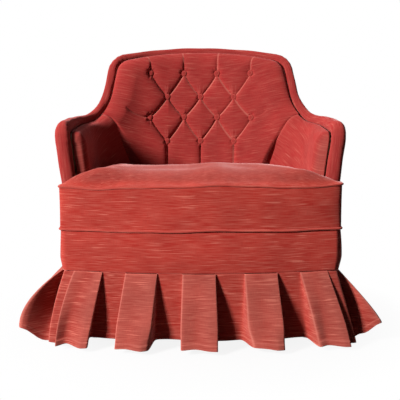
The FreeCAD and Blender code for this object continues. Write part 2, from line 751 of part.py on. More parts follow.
def wall_cloth():
    web_o = -FRAME_THICK - FIT
    web_low = level(RAIL_TOP + STAY_LIFT + TURN_IN)
    straps = []
    for x in (-1, 0, 1):
        s = x * BACK_WEB_SPREAD * BUTTON_PITCH
        stations = [s - WEB_WIDTH / 2, s + WEB_WIDTH / 2]
        straps.append(slab(stations, web_low, cloth_top, web_o - WEB_THICK, web_o))
    keep("back_webbing", Part.Compound(straps))
    o = web_o - WEB_THICK - FIT
    low = level(PAD_Z + SEAM_GAP)
    keep("back_hessian", slab(crest_stations(), low, cloth_top, o - HESSIAN_THICK, o))
    stations = shoulder_stations(SEAM_RUN_HIGH + CLOTH_CUT)
    arm = slab(stations, low, cloth_top, web_o - HESSIAN_THICK, web_o)
    keep_pair("left_arm_hessian", "right_arm_hessian", arm)


def cloth_top(s):
    return frame_top(s) - TURN_IN


# Padded inside back with sewn tufts
def pad_thickness(s):
    return blend(PAD_BACK, PAD_SIDE, (abs(s) - PAD_FULL_RUN) / (SEAM_RUN_HIGH - PAD_FULL_RUN))


def back_front(s, z, w):
    return wall(s, z, PAD_BACK_O - pad_thickness(s) + w)


def back_back(s, z, w):
    return wall(s, z, PAD_BACK_O)


def run_of(x, z):
    """Run of a point of the padded back that lies x from the centre line."""
    slope = LEAN_BACK * lean(z)
    radius = HALF_WIDTH + slope + PAD_BACK_O - PAD_BACK + TUFT_DEPTH / 2
    return math.asin(x / radius) * HALF_WIDTH


def tuft_points():
    """Named nodes of the right half of the quilted back: run, height, depth."""
    p = BUTTON_PITCH
    z1, z2, z3, z4 = [RAIL_TOP + r for r in BUTTON_ROWS]
    d, e = TUFT_DEPTH, PAD_EDGE_DEPTH
    pts = {"a1": (run_of(p / 2, z1), z1, d), "a2": (run_of(p * 1.5, z1), z1, d),
           "b0": (0.0, z2, d), "b1": (run_of(p, z2), z2, d),
           "c1": (run_of(p / 2, z3), z3, d), "c2": (run_of(p * 1.5, z3), z3, d),
           "d0": (0.0, z4, d), "d1": (run_of(p, z4), z4, d)}
    low = PAD_Z
    pts["q0"], pts["qm"] = (0.0, low, d * TUFT_SEAT), (run_of(p / 2, low), low, e / 2)
    pts["q1"], pts["q2"] = (run_of(p, low), low, d * TUFT_SEAT), (SEAM_RUN_LOW, low, e)
    zs = (RAIL_TOP + FOOT_RISE + low) / 2
    pts["o4"] = (seam_run(zs), zs, e)
    return pts


def inside_back():
    top = rim_inside(PAD_TUCK)
    table = lengths(top)
    pts = tuft_points()
    places = {"t0": 0.0, "t1": pts["a1"][0], "tm": pts["b1"][0], "t2": pts["a2"][0] + RIM_SPREAD,
              "t3": SHOULDER_RUN - RIM_CORNER}
    along = {k: length_at(top, table, s) for k, s in places.items()}
    along["o3"] = length_at(top, table, SEAM_RUN_HIGH)
    span = along["o3"] - along["t3"]
    along["o1"] = along["t3"] + span / 3
    along["o2"] = along["t3"] + span * 2 / 3
    for k, p in along.items():
        pts[k] = point_on(top, table, p) + (PAD_EDGE_DEPTH,)
    quads = [("c1", "b1", "a1", "b0"), ("d1", "c2", "b1", "c1"),
             ("b0", "a1", "t1", "t0"), ("b1", "a1", "t1", "tm"), ("b1", "a2", "t2", "tm"),
             ("d0", "c1", "qm", "q0"), ("d1", "c1", "qm", "q1"),
             ("t2", "a2", "o1", "t3"), ("a2", "b1", "o2", "o1"), ("b1", "c2", "o3", "o2"),
             ("c2", "d1", "o4", "o3"), ("d1", "q1", "q2", "o4")]
    pleats = {frozenset(k) for k in (
        ("c1", "b1"), ("b1", "a1"), ("a1", "b0"), ("b0", "c1"), ("d1", "c2"), ("c2", "b1"),
        ("c1", "d1"), ("c1", "d0"), ("a1", "t1"), ("a2", "t2"), ("a2", "b1"), ("d0", "q0"),
        ("d1", "q1"), ("c2", "o3"))}

    def middle(k0, k1):
        a, b = pts[k0], pts[k1]
        if k0 in along and k1 in along:
            return point_on(top, table, (along[k0] + along[k1]) / 2) + (PAD_EDGE_DEPTH,)
        s, z = (a[0] + b[0]) / 2, (a[1] + b[1]) / 2
        key = frozenset((k0, k1))
        if key <= {"o3", "o4", "q2"}:
            return (seam_run(z), z, PAD_EDGE_DEPTH * TUFT_SEAT)
        if key in pleats:
            return (s, z, PLEAT_DEPTH)
        if key <= {"q0", "qm", "q1", "q2"}:
            return (s, z, PAD_EDGE_DEPTH * TUFT_SEAT)
        return (s, z, PUFF_EDGE)

    def cell_of(a, b, c, d, turn):
        ab, bc, cd, da = middle(a, b), middle(b, c), middle(c, d), middle(d, a)
        mid = tuple(sum(m[i] for m in (ab, bc, cd, da)) / 4 for i in (0, 1)) + (0.0,)
        grid = [[pts[a], ab, pts[b]], [da, mid, bc], [pts[d], cd, pts[c]]]
        return [[(turn * n[0], n[1], n[2]) for n in row] for row in grid]

    cells = [cell_of(*q, 1) for q in quads] + [cell_of(*q, -1) for q in quads]
    r, l = cell_of("d0", "c1", "b0", "c1", 1), cell_of("d0", "c1", "b0", "c1", -1)
    z = (pts["b0"][1] + pts["d0"][1]) / 2
    cells.append([[r[0][0], r[0][1], r[0][2]], [l[0][1], (0.0, z, 0.0), r[1][2]],
                  [l[0][2], l[1][2], r[2][2]]])
    return quilt(cells, back_front, back_back)


def button_places():
    pts = tuft_points()
    out = []
    for k in ("a1", "a2", "b0", "b1", "c1", "c2", "d0", "d1"):
        out.append(pts[k][:2])
    return out


def button(s, z, pad):
    """Covered button, sunk into its tuft until it meets the padding."""
    r, h = BUTTON_RADIUS, BUTTON_HEIGHT
    edge = h * BUTTON_EDGE
    cap = h - edge
    ball = (r * r + cap * cap) / (2 * cap)
    rim = math.degrees(math.asin(1 - cap / ball))
    dome = Part.makeSphere(ball, V(0, 0, h - ball), V(0, 0, 1), rim, 90)
    shape = Part.makeCylinder(r, edge).fuse(dome).removeSplitter()
    facing = wall_facing(s)
    start = wall(s, z, PAD_BACK_O - pad_thickness(s))
    shape.Placement = FreeCAD.Placement(start, FreeCAD.Rotation(V(0, 0, 1), facing))
    reach = Part.makeSphere(TUFT_DEPTH + 2 * r, start).BoundBox
    near = Part.Compound([f for f in pad.Faces if f.BoundBox.intersect(reach)])
    for i in range(12):
        gap = shape.distToShape(near)[0] - FIT
        if gap < FIT / 3:
            break
        shape.translate(facing * -gap)
    return shape


def back_buttons(pad):
    out = []
    for s, z in button_places():
        one = button(s, z, pad)
        out += [one] if s == 0 else [one, mirrored(one)]
    return Part.Compound(out)


# Inside arms
def arm_front(s, z, w):
    return wall(s, z, PAD_ARM_O - PAD_ARM + w)


def arm_back(s, z, w):
    return wall(s, z, PAD_ARM_O)


def fade(t, reach):
    """One at t 0, falling smoothly to nothing at reach."""
    return (1 - min(t / reach, 1)) ** 2


def inside_arm():
    top = rim_inside(ARM_TUCK)
    front = RUN_END - ARM_TUCK - FIT
    fractions = (0.0, 0.3, 0.62, 0.9, 1.0)
    rows = (0.0, 0.5, 1.0)

    def node(f, v):
        start = SEAM_RUN_HIGH + SEAM_GAP
        high = height_on(top, start + (front - start) * f)
        z = PAD_Z + (high - PAD_Z) * v
        start = seam_run(PAD_Z + (height_on(top, start) - PAD_Z) * v) + SEAM_GAP
        s = start + (front - start) * f
        ends = ARM_SEAM_ROUND * fade(f, 0.25) + ARM_END_ROUND * fade(1 - f, 0.2)
        edge = ARM_END_ROUND * fade(1 - v, 0.4) + ARM_SEAT_ROUND * fade(v, 0.4)
        return (s, z, min(ends + edge, ARM_ROUND_MOST))

    cells = []
    for f0, f1 in zip(fractions, fractions[1:]):
        for v0, v1 in zip(rows, rows[1:]):
            vs = (v0, (v0 + v1) / 2, v1)
            cells.append([[node(f, v) for v in vs] for f in (f0, (f0 + f1) / 2, f1)])
    return quilt(cells, arm_front, arm_back)


# Padded roll round the edge
def roll_section(s, z, heading):
    r = roll_radius(abs(s))
    o = -FRAME_THICK - FIT + r
    centre = wall(s, z, o)
    step = 0.5
    ahead = wall(s + step * math.cos(heading), z + step * math.sin(heading), o)
    along = (ahead - centre).normalize()
    nx, ny = plan(s)[2:4]
    across = V(nx, ny, 0)
    across = (across - along * across.dot(along)).normalize()
    return centre, across, along.cross(across), r


def rim_station(path, table, p):
    """Run, height and heading of the roll line at a signed length from the back centre."""
    d = abs(p)
    s, z = point_on(path, table, d)
    a, b = point_on(path, table, max(d - 2, 0)), point_on(path, table, min(d + 2, table[-1]))
    rise = math.atan2(b[1] - a[1], b[0] - a[0])
    return (s, z, rise) if p >= 0 else (-s, z, -rise)


def edge_roll():
    """One padded roll from arm front to arm front, close sections on the bends."""
    path = [(s, z) for s, z, t in RIM]
    table = lengths(path)
    crest = length_at(path, table, SHOULDER_RUN - SHOULDER_BEND)
    foot = length_at(path, table, FOOT_RUN + FOOT_EASE)
    bend = length_at(path, table, RUN_END - ARM_BEND)
    fall = bend + ARM_BEND * math.pi / 2
    half = [0.0]
    for start, end, step in ((0.0, crest, 34.0), (crest, foot, 13.0), (foot, bend, 42.0),
                             (bend, fall, 8.0), (fall, table[-1], 48.0)):
        half += spaced(start, end, step)[1:]
    stops = [-p for p in reversed(half[1:])] + half
    return tube([roll_section(*rim_station(path, table, p)) for p in stops])


# Outside covers and apron
def covers():
    o0, o1 = COVER_FIT, COVER_FIT + COVER_THICK
    low = level(SEAM_Z)
    shoulder, seam = SHOULDER_RUN - SHOULDER_EASE, FOOT_RUN + OUTER_SEAM
    half = spaced(0.0, shoulder, BACK_STEP) + spaced(shoulder, seam, SHOULDER_STEP)[1:]
    stations = [-s for s in reversed(half[1:])] + half
    keep("outside_back", slab(stations, low, frame_top, o0, o1))
    arm = slab(shoulder_stations(seam + FIT), low, frame_top, o0, o1)
    keep_pair("left_outside_arm", "right_outside_arm", arm)
    height = SEAT_Z - FIT - SEAM_Z
    box = lift(seat_outline(o1, SEAM_Z), height).cut(lift(seat_outline(o0, SEAM_Z), height))
    back_edge = ROUND_Y - (RUN_FACE - QUARTER) - FIT
    reach = 2 * HALF_WIDTH
    front_part = Part.makeBox(2 * reach, reach, reach, V(-reach, back_edge - reach, 0))
    keep("front_apron", box.common(front_part))


# Seat cushion
def cushion_solid():
    """Crowned T-shaped cushion with drawn-in boxing."""
    half, centre = seat_body()
    over = CUSHION_OVERHANG
    wide = HALF_WIDTH + over
    notch = cushion_notch()
    low, high = SEAT_Z, SEAT_Z + CUSHION_BOX
    columns = (0.0, 0.4, 0.75, 1.0)

    def body_node(c, f):
        a = math.pi / 2 * c
        far = (half * math.sin(a), centre + half * math.cos(a))
        near = (half * c, notch)
        return (near[0] + (far[0] - near[0]) * f, near[1] + (far[1] - near[1]) * f)

    def front_node(x, f):
        return (x, bow_y(x, over) + (notch - bow_y(x, over)) * f)

    def to_edge(x, y):
        if x >= half:
            return notch - y
        if y < notch:
            return math.hypot(half - x, notch - y)
        return half - x if y < centre else half - math.hypot(x, y - centre)

    def rise(d):
        return 1 - (1 - min(max(d, 0.0), 1.0)) ** 3

    def node(p, turn):
        x, y = p
        crest = notch + CUSHION_CREST
        fall = max(y - crest, 0.0) / (centre + half - crest)
        crown = rise((y - bow_y(x, over)) / CUSHION_ROLLOVER) * blend(0, 1, (wide - x) / CUSHION_EAR)
        crown *= rise(to_edge(x, y) / CUSHION_EDGE) * (1 - CUSHION_FALL * fall)
        return (turn * x, y, CUSHION_CROWN * crown)

    cells = []
    for turn in (1, -1):
        for c0, c1 in zip(columns, columns[1:]):
            cs = (c0, (c0 + c1) / 2, c1)
            for fs in ((0, 0.25, 0.5), (0.5, 0.75, 1.0)):
                cells.append([[node(body_node(c, f), turn) for f in fs] for c in cs])
            cells.append([[node(front_node(half * c, f), turn) for f in (0, 0.5, 1)] for c in cs])
        xs = (half, (half + wide) / 2, wide)
        cells.append([[node(front_node(x, f), turn) for f in (0, 0.5, 1)] for x in xs])

    def drawn_in(x, y, w):
        r = math.hypot(x, y - centre)
        k = CUSHION_WAIST / max(r, 1.0)
        return V(x - x * k, y - (y - centre) * k, (low + high) / 2)

    return quilt(cells, lambda x, y, w: V(x, y, high + w), lambda x, y, w: V(x, y, low), drawn_in)


def welt_half(z):
    """Centre line of the piping on the right side, front centre to back centre: edges in order."""
    half, centre = seat_body()
    w, bend = WELT_OUT, WELT_BEND
    over = CUSHION_OVERHANG
    wide = HALF_WIDTH + over
    notch = cushion_notch()
    c = math.sqrt(0.5)
    corner, ear = V(wide, bow_y(wide, over), z), V(wide, notch, z)
    n = V(wide, corner.y - BOW_CENTRE, 0).normalize()
    m = (n + V(1, 0, 0)).normalize()
    inner = V(half + w, notch + w, z)
    hub = inner + V(bend, bend, 0)
    x, y, r = V(w, 0, 0), V(0, w, 0), half + w
    return [arc(V(0, bow_y(0, over + w), z), V(wide / 2, bow_y(wide / 2, over + w), z), corner + n * w),
            arc(corner + n * w, corner + m * w, corner + x), line(corner + x, ear + x),
            arc(ear + x, ear + (x + y) * c, ear + y), line(ear + y, inner + V(bend, 0, 0)),
            arc(inner + V(bend, 0, 0), hub - V(bend * c, bend * c, 0), inner + V(0, bend, 0)),
            line(inner + V(0, bend, 0), V(r, centre, z)),
            arc(V(r, centre, z), V(r * c, centre + r * c, z), V(0, centre + r, z))]


def welt(z):
    """Piping round the cushion, lying against its boxing."""
    up = V(0, 0, 1)
    sections = []
    for edge in welt_half(z):
        start, end = edge.FirstParameter, edge.LastParameter
        count = 1
        if edge.Curve.TypeId == "Part::GeomCircle":
            count = int(math.ceil((end - start) / math.sqrt(8 * WELT_SAG / edge.Curve.Radius)))
        for i in range(count):
            t = start + (end - start) * i / count
            sections.append((edge.valueAt(t), edge.tangentAt(t).cross(up), up, WELT_RADIUS))
    sections.append((edge.valueAt(end), V(0, 1, 0), up, WELT_RADIUS))
    half = tube(sections)
    return half.fuse(mirrored(half))


def cushion_notch():
    return ARM_Y - ROLL_ARM - CUSHION_GAP - 2 * WELT_OUT


def cushion():
    half, centre = seat_body()
    inset = CUSHION_SKIN + CUSHION_WAIST
    low, height = SEAT_Z + CUSHION_SKIN, CUSHION_BOX - 2 * CUSHION_SKIN
    over, notch = CUSHION_OVERHANG - inset, cushion_notch() - inset

    def block(gap):
        outline = tee(over - gap, notch - gap, half - inset - gap, centre, low + gap)
        return lift(face_of(outline), height - 2 * gap)

    keep("cushion_cover", cushion_solid().cut(block(0)))
    keep("cushion_filling", block(FIT))
    keep("cushion_lower_welt", welt(SEAT_Z + WELT_OUT))
    keep("cushion_top_welt", welt(SEAT_Z + CUSHION_BOX - WELT_OUT))


# Box-pleated skirt
BOW_RUN = BOW_RADIUS * math.asin(HALF_WIDTH / BOW_RADIUS)
HALF_ROUND = BOW_RUN + SIDE_STRAIGHT + QUARTER


def skirt_base(q):
    """Point and outward normal of the seat box at q along it from the front centre."""
    side = -1 if q < 0 else 1
    t = abs(q)
    if t < BOW_RUN:
        a = t / BOW_RADIUS
        nx, ny = math.sin(a), -math.cos(a)
        x, y = BOW_RADIUS * nx, BOW_CENTRE + BOW_RADIUS * ny
    elif t < BOW_RUN + SIDE_STRAIGHT:
        x, y, nx, ny = HALF_WIDTH, CORNER_Y + t - BOW_RUN, 1.0, 0.0
    else:
        a = (t - BOW_RUN - SIDE_STRAIGHT) / HALF_WIDTH
        nx, ny = math.cos(a), math.sin(a)
        x, y = HALF_WIDTH * nx, ROUND_Y + HALF_WIDTH * ny
    return side * x, y, side * nx, ny


def flare(q):
    t = abs(q) - BOW_RUN
    if t <= 0:
        return FLARE_FRONT
    return blend(FLARE_SIDE, FLARE_BACK, t / (HALF_ROUND - BOW_RUN))


def skirt_point(q, proud, hem):
    """Plan point of the skirt: proud is 1 on a pleat face, 0 in a recess."""
    x, y, nx, ny = skirt_base(q)
    rest = SKIRT_CLOTH + FIT + SKIRT_EASE
    if hem:
        o = rest + flare(q) - PLEAT_STEP_HEM * (1 - proud)
        spread = x * FLARE_SPREAD if abs(q) < BOW_RUN else 0.0
    else:
        o = rest + PLEAT_STEP_TOP * proud
        spread = 0.0
    return (x + nx * o + spread, y + ny * o)


def corner_points(side, hem):
    """Plan points at a front corner: the deep fold, then the folded end of the front length."""
    rest = SKIRT_CLOTH + FIT + SKIRT_EASE
    if hem:
        fold = (HALF_WIDTH + CORNER_FOLD_OUT, CORNER_Y + CORNER_FOLD_BACK)
        edge = (HALF_WIDTH + CORNER_EDGE_OUT, CORNER_Y - CORNER_EDGE_FRONT)
    else:
        fold = (HALF_WIDTH + rest, CORNER_Y + CORNER_FOLD_TOP)
        edge = (HALF_WIDTH + rest, CORNER_Y - rest)
    return [(side * x, y) for x, y in (fold, edge)]


def pleat_line(pleats, hem):
    pitch = 2 * HALF_ROUND / PLEATS
    pts = []
    for k in pleats:
        q, h = k * pitch, PLEAT_FACE / 2
        tuck = PLEAT_TUCK if hem else 0.0
        for offset, proud in ((-pitch / 2, 0), (-h + tuck, 0), (-h, 1), (0, 1), (h, 1), (h - tuck, 0)):
            pts.append((q + offset, proud))
    pts.append(((pleats[-1] + 0.5) * pitch, 0))
    return [skirt_point(wrapped(q), proud, hem) for q, proud in pts]


def wrapped(q):
    return q - 2 * HALF_ROUND if q > HALF_ROUND else q


def thickened(pts, start, end, z):
    """Closed outline of a strip of cloth whose outer side follows the points."""
    t = SKIRT_CLOTH
    normals = []
    for a, b in zip(pts, pts[1:]):
        l = math.hypot(b[0] - a[0], b[1] - a[1])
        normals.append((-(b[1] - a[1]) / l, (b[0] - a[0]) / l))
    inner = []
    for i, p in enumerate(pts):
        if i in (0, len(pts) - 1):
            n = start if i == 0 else end
            inner.append((p[0] + n[0] * t, p[1] + n[1] * t))
            continue
        a, b = normals[i - 1], normals[i]
        k = t / max(1 + a[0] * b[0] + a[1] * b[1], MITRE_MOST)
        inner.append((p[0] + (a[0] + b[0]) * k, p[1] + (a[1] + b[1]) * k))
    loop = [V(x, y, z) for x, y in pts + inner[::-1]]
    return Part.makePolygon(loop + loop[:1])


def panel_level(pleats, first, last, hem):
    """Outline of a length of skirt at its top or hem; first and last are the corner sides or 0."""
    line, ends = pleat_line(pleats, hem), []
    for corner, edge in ((first, pleats[0] - 0.5), (last, pleats[-1] + 0.5)):
        if corner and hem:
            ends.append((-corner * CORNER_MITRE[0], CORNER_MITRE[1]))
        elif corner:
            ends.append((-corner, 0.0))
        else:
            nx, ny = skirt_base(wrapped(edge * 2 * HALF_ROUND / PLEATS))[2:]
            ends.append((-nx, -ny))
    if first and last:
        line = corner_points(first, hem) + line[1:-1] + corner_points(last, hem)[::-1]
    elif first:
        line[0] = corner_points(first, hem)[0]
    return thickened(line, ends[0], ends[1], HEM_LIFT if hem else SEAM_Z - FIT)


def skirt_panel(pleats, first, last):
    levels = [panel_level(pleats, first, last, hem) for hem in (True, False)]
    return Part.makeLoft(levels, True, True)


def skirts():
    keep("front_skirt", skirt_panel([-2, -1, 0, 1, 2], -1, 1))
    keep_pair("left_skirt", "right_skirt", skirt_panel([3, 4, 5], 1, 0))
    keep("back_skirt", skirt_panel([6, 7, 8, 9], 0, 0))


def build():
    seat_frame()
    wall_frame()
    keep("seat_webbing", seat_webbing())
    keep("seat_hessian", seat_hessian())
    deck()
    keep("dust_cover", dust_cover())
    wall_cloth()
    pad = inside_back()
    keep("inside_back", pad)
    keep("back_buttons", back_buttons(pad))
    keep_pair("left_inside_arm", "right_inside_arm", inside_arm())
    keep("edge_roll", edge_roll())
    covers()
    cushion()
    skirts()


def place_and_write():
    """Centre the plan box on the origin and write every piece."""
    front = SHAPES["front_skirt"].BoundBox.YMin
    crest = wall(0.0, RIM[0][1], -FRAME_THICK - FIT + 2 * ROLL_BACK).y
    back = max(crest, SHAPES["back_skirt"].BoundBox.YMax)
    shift = V(0, -(front + back) / 2, 0)
    os.makedirs("parts", exist_ok=True)
    for name, shape in SHAPES.items():
        moved = shape.copy()
        moved.translate(shift)
        moved.exportStep("parts/" + name + ".step")
    print("moved by", shift.y)


build()
place_and_write()
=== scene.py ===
import json
import math

import bpy
import numpy as np
from bpy.props import FloatProperty, FloatVectorProperty, PointerProperty
from bpy.types import Operator, Panel, PropertyGroup
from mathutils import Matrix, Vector


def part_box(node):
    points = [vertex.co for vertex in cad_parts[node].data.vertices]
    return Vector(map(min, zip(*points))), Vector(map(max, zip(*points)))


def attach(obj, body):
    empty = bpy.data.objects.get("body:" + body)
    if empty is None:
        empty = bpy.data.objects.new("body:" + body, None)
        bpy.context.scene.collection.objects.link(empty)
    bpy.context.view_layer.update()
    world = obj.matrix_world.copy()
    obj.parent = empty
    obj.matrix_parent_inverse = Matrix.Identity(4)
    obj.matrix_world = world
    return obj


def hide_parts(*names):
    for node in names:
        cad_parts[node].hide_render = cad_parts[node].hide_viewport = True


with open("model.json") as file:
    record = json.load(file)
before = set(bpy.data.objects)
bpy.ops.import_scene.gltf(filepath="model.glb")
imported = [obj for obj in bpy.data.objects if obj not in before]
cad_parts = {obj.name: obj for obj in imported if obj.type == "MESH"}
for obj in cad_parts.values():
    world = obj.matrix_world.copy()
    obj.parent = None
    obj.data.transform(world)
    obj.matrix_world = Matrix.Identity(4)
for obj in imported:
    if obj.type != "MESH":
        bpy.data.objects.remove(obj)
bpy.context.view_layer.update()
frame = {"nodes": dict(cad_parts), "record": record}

bl_info = {
    "name": "Crapaud armchair",
    "version": (1, 0, 0),
    "blender": (4, 5, 0),
    "location": "3D View > Sidebar > Chair",
    "description": "Dresses the frame of a low buttoned armchair in striated velvet",
    "category": "Object",
}

# Seat box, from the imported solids, in metres
HALF_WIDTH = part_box("right_seat_rail")[1].x
ROUND_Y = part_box("right_seat_rail")[1].y
RAIL_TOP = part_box("right_seat_rail")[1].z
SEAT_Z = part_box("cushion_cover")[0].z
PAD_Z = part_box("inside_back")[0].z
SEAM_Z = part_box("front_apron")[0].z
APRON_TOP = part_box("front_apron")[1].z
HEM_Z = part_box("front_skirt")[0].z
SIDE_STRAIGHT = 0.189
FRONT_BOW = 0.045
CORNER_Y = ROUND_Y - SIDE_STRAIGHT
BOW_RADIUS = (HALF_WIDTH ** 2 + FRONT_BOW ** 2) / (2 * FRONT_BOW)
BOW_CENTRE = CORNER_Y - FRONT_BOW + BOW_RADIUS
BOW_RUN = BOW_RADIUS * math.asin(HALF_WIDTH / BOW_RADIUS)
QUARTER = HALF_WIDTH * math.pi / 2
HALF_ROUND = BOW_RUN + SIDE_STRAIGHT + QUARTER

# Leaning wall of the arms and back: heights above the seat rails, angles from the back centre
FRAME_THICK = 0.025
FIT = 0.0003
ARM_Y = CORNER_Y + 0.056
RUN_END = QUARTER + ROUND_Y - ARM_Y
CREST_RUN = HALF_WIDTH * math.radians(16.2)
SHOULDER_RUN = HALF_WIDTH * math.radians(41.0)
FOOT_RUN = HALF_WIDTH * math.radians(53.5)
PAD_FULL_RUN = HALF_WIDTH * math.radians(21.0)
SEAM_RUN_LOW = HALF_WIDTH * math.radians(38.0)
SEAM_RUN_HIGH = HALF_WIDTH * math.radians(57.1)
SEAM_CURVE = 2.5
RIM_CORNERS = (
    (0.0, RAIL_TOP + 0.477), (CREST_RUN, RAIL_TOP + 0.477), (SHOULDER_RUN, RAIL_TOP + 0.446),
    (FOOT_RUN, RAIL_TOP + 0.284), (RUN_END, RAIL_TOP + 0.260), (RUN_END, SEAT_Z),
)
RIM_BENDS = (0.78, 0.064, 0.14, 0.036)
LEAN_FROM = RAIL_TOP + 0.045
LEAN_BLEND = 0.12
LEAN_ARM = 0.13
LEAN_BACK = 0.25
ROLL_BACK = 0.012
ROLL_ARM = 0.0185
RUN_FACE = RUN_END - ROLL_ARM - 0.002

# Padding
BACK_O = -0.0303
ARM_O = -0.0279
PAD_BACK = 0.055
PAD_SIDE = 0.036
PAD_ARM = 0.030
PAD_TUCK = 0.004
ARM_TUCK = 0.006
BUTTON_PITCH = 0.099
BUTTON_ROWS = (0.410, 0.341, 0.281, 0.212)
BUTTON_SEAT = 0.0135
BACK_SEEN_Z = 0.43

# Cushion plan
CUSHION_BOX = 0.100
CUSHION_OVERHANG = 0.009
WELT_OUT = 0.0035
CUSHION_LIP = 0.0035
CUSHION_HALF = HALF_WIDTH + ARM_O - PAD_ARM - 0.0015 - 2 * WELT_OUT
CUSHION_BACK = ROUND_Y + HALF_WIDTH + BACK_O - PAD_BACK - 0.0045 - 2 * WELT_OUT
CUSHION_NOTCH = ARM_Y - ROLL_ARM - 0.0015 - 2 * WELT_OUT
CUSHION_EDGE = 0.034
CUSHION_CREST = CUSHION_NOTCH - 0.005

# Outer panels and inner cloth
APRON_OUT = 0.0095
APRON_CLOTH = 0.004
COVER_OUT = 0.005
COVER_CLOTH = 0.0043
HESSIAN = 0.0012
WEB_WIDTH = 0.05
WEB_THICK = 0.0018
WEB_PITCH = 0.073
WEB_FIRST = 0.048
WEB_INSET = 0.014
SEAT_CLOTH_INSET = 0.008
LEG_HALF = 0.023
LEG_HOLE = 0.049

# Skirt
PLEATS = 15
PLEAT_PITCH = 2 * HALF_ROUND / PLEATS
SKIRT_REST = 0.0033
RECESS = 0.060
SEAM_FOLD = 0.0034
HEAD_Z = SEAM_Z + 0.002
HEM_BAND = 0.915

# Stage
KEY_PLACE = (-2.62, -2.62, 1.88)
BACK_PLACE = (1.3, 3.4, 0.75)
LAMP_AIM = (0, 0, 0.38)
CAMERA_PLACE = (0, -2.0127, 0.587)
CAMERA_TILT = 82.4

# Kinds of setting
COLOUR = {"subtype": "COLOR", "size": 3, "min": 0, "max": 1}
LENGTH = {"unit": "LENGTH"}
SHARE = {"subtype": "FACTOR", "min": 0, "max": 1}
POWER = {"unit": "POWER"}


class VelvetLook(PropertyGroup):
    """Colours of the covering cloth."""

    ground: FloatVectorProperty(
        name="Ground", description="Colour of the pile", default=(0.45, 0.030, 0.020), **COLOUR)
    # Pleat faces of the skirt: a paler colour, painted light with some wear of the pile
    wear_and_shade: FloatVectorProperty(
        name="Worn_and_lit pile", description="Colour of the pile on the skirt", default=(0.45, 0.078, 0.058), **COLOUR)
    # Top of the seat: darker and greyer than the ground, painted shade with some flattened pile
    crushed_and_shaded: FloatVectorProperty(
        name="Shaded_crushed pile", description="Colour of the pile on top of the seat",
        default=(0.345, 0.032, 0.025), **COLOUR)
    # Walls: a darker copy of the pile colour on the back, arms and roll, painted shade
    wall: FloatVectorProperty(
        name="Walls", description="Colour of the pile on the back and arms",
        default=(0.385, 0.027, 0.025), **COLOUR)
    slub: FloatVectorProperty(
        name="Slubs", description="Colour of the pale streaks", default=(0.80, 0.25, 0.18), **COLOUR)
    # Edges: pale colour of fold lines, painted highlight with some wear of the pile
    edge: FloatVectorProperty(
        name="Edges", description="Colour of rubbed folds", default=(0.74, 0.25, 0.19), **COLOUR)
    streaks: FloatProperty(
        name="Streaks", description="How strongly the slubs show", default=0.75, **SHARE)


class ChairForm(PropertyGroup):
    """Sizes of the padding and the skirt."""

    tuft_depth: FloatProperty(
        name="Tuft depth", description="How far the buttons are pulled in", default=0.028, **LENGTH)
    pleat_depth: FloatProperty(
        name="Pleat depth", description="Depth of the folds between buttons", default=0.016, **LENGTH)
    button_radius: FloatProperty(
        name="Button radius", description="Radius of a covered button", default=0.0098, **LENGTH)
    crown: FloatProperty(
        name="Crown", description="Rise of the cushion's top over its welt", default=0.0365, **LENGTH)
    rollover: FloatProperty(
        name="Rollover", description="Width over which the crown rises from the front", default=0.105, **LENGTH)
    fall: FloatProperty(
        name="Fall", description="Share of the crown lost at the back", default=0.85, **SHARE)
    welt: FloatProperty(
        name="Welt radius", description="Radius of the piping", default=0.0027, **LENGTH)
    pleat_face: FloatProperty(
        name="Pleat face", description="Width of a pleat at the seam", default=0.078, **LENGTH)
    cloth: FloatProperty(
        name="Cloth", description="Thickness of the skirt's lined cloth", default=0.0022, **LENGTH)


class StageLook(PropertyGroup):
    """Light and floor."""

    key: FloatProperty(name="Key light", description="Power of the large lamp", default=238.0, **POWER)
    back: FloatProperty(
        name="Back light", description="Power of the lamp behind the chair", default=90.0, **POWER)
    fill: FloatProperty(name="Fill", description="Strength of the room's light", default=0.01, min=0)
    floor: FloatVectorProperty(
        name="Floor", description="Colour of the floor", default=(0.1, 0.1, 0.1), **COLOUR)


# Curves
def smooth(t):
    """Ease from 0 to 1 while t goes from 0 to 1."""
    t = np.clip(t, 0.0, 1.0)
    return t * t * (3 - 2 * t)


def bell(x, middle, width):
    """Bell curve, 1 at its middle."""
    return np.exp(-((x - middle) / width) ** 2)


# Shape of the wall
def lean(z):
    h = np.maximum(z - LEAN_FROM, 0.0)
    return np.where(h < LEAN_BLEND, h * h / (2 * LEAN_BLEND), h - LEAN_BLEND / 2)


def plan(s):
    """Point, outward normal and lean of the frame's outer face, s round it from the back centre."""
    side = np.where(s < 0, -1.0, 1.0)
    t = np.abs(s)
    a = np.minimum(t / HALF_WIDTH, math.pi / 2)
    nx, ny = np.sin(a), np.maximum(np.cos(a), 0.0)
    x = HALF_WIDTH * nx
    y = ROUND_Y + HALF_WIDTH * ny - np.maximum(t - QUARTER, 0.0)
    slope = LEAN_ARM + (LEAN_BACK - LEAN_ARM) * ny ** 1.2
    return side * x, y, side * nx, ny, slope


def wall(s, z, o):
    """Points of the leaning wall: s round it, z up, o outward from the frame's outer face."""
    s, z, o = np.broadcast_arrays(np.asarray(s, float), np.asarray(z, float), np.asarray(o, float))
    x, y, nx, ny, slope = plan(s)
    d = o + slope * lean(z)
    return np.stack([x + nx * d, y + ny * d, z], -1)


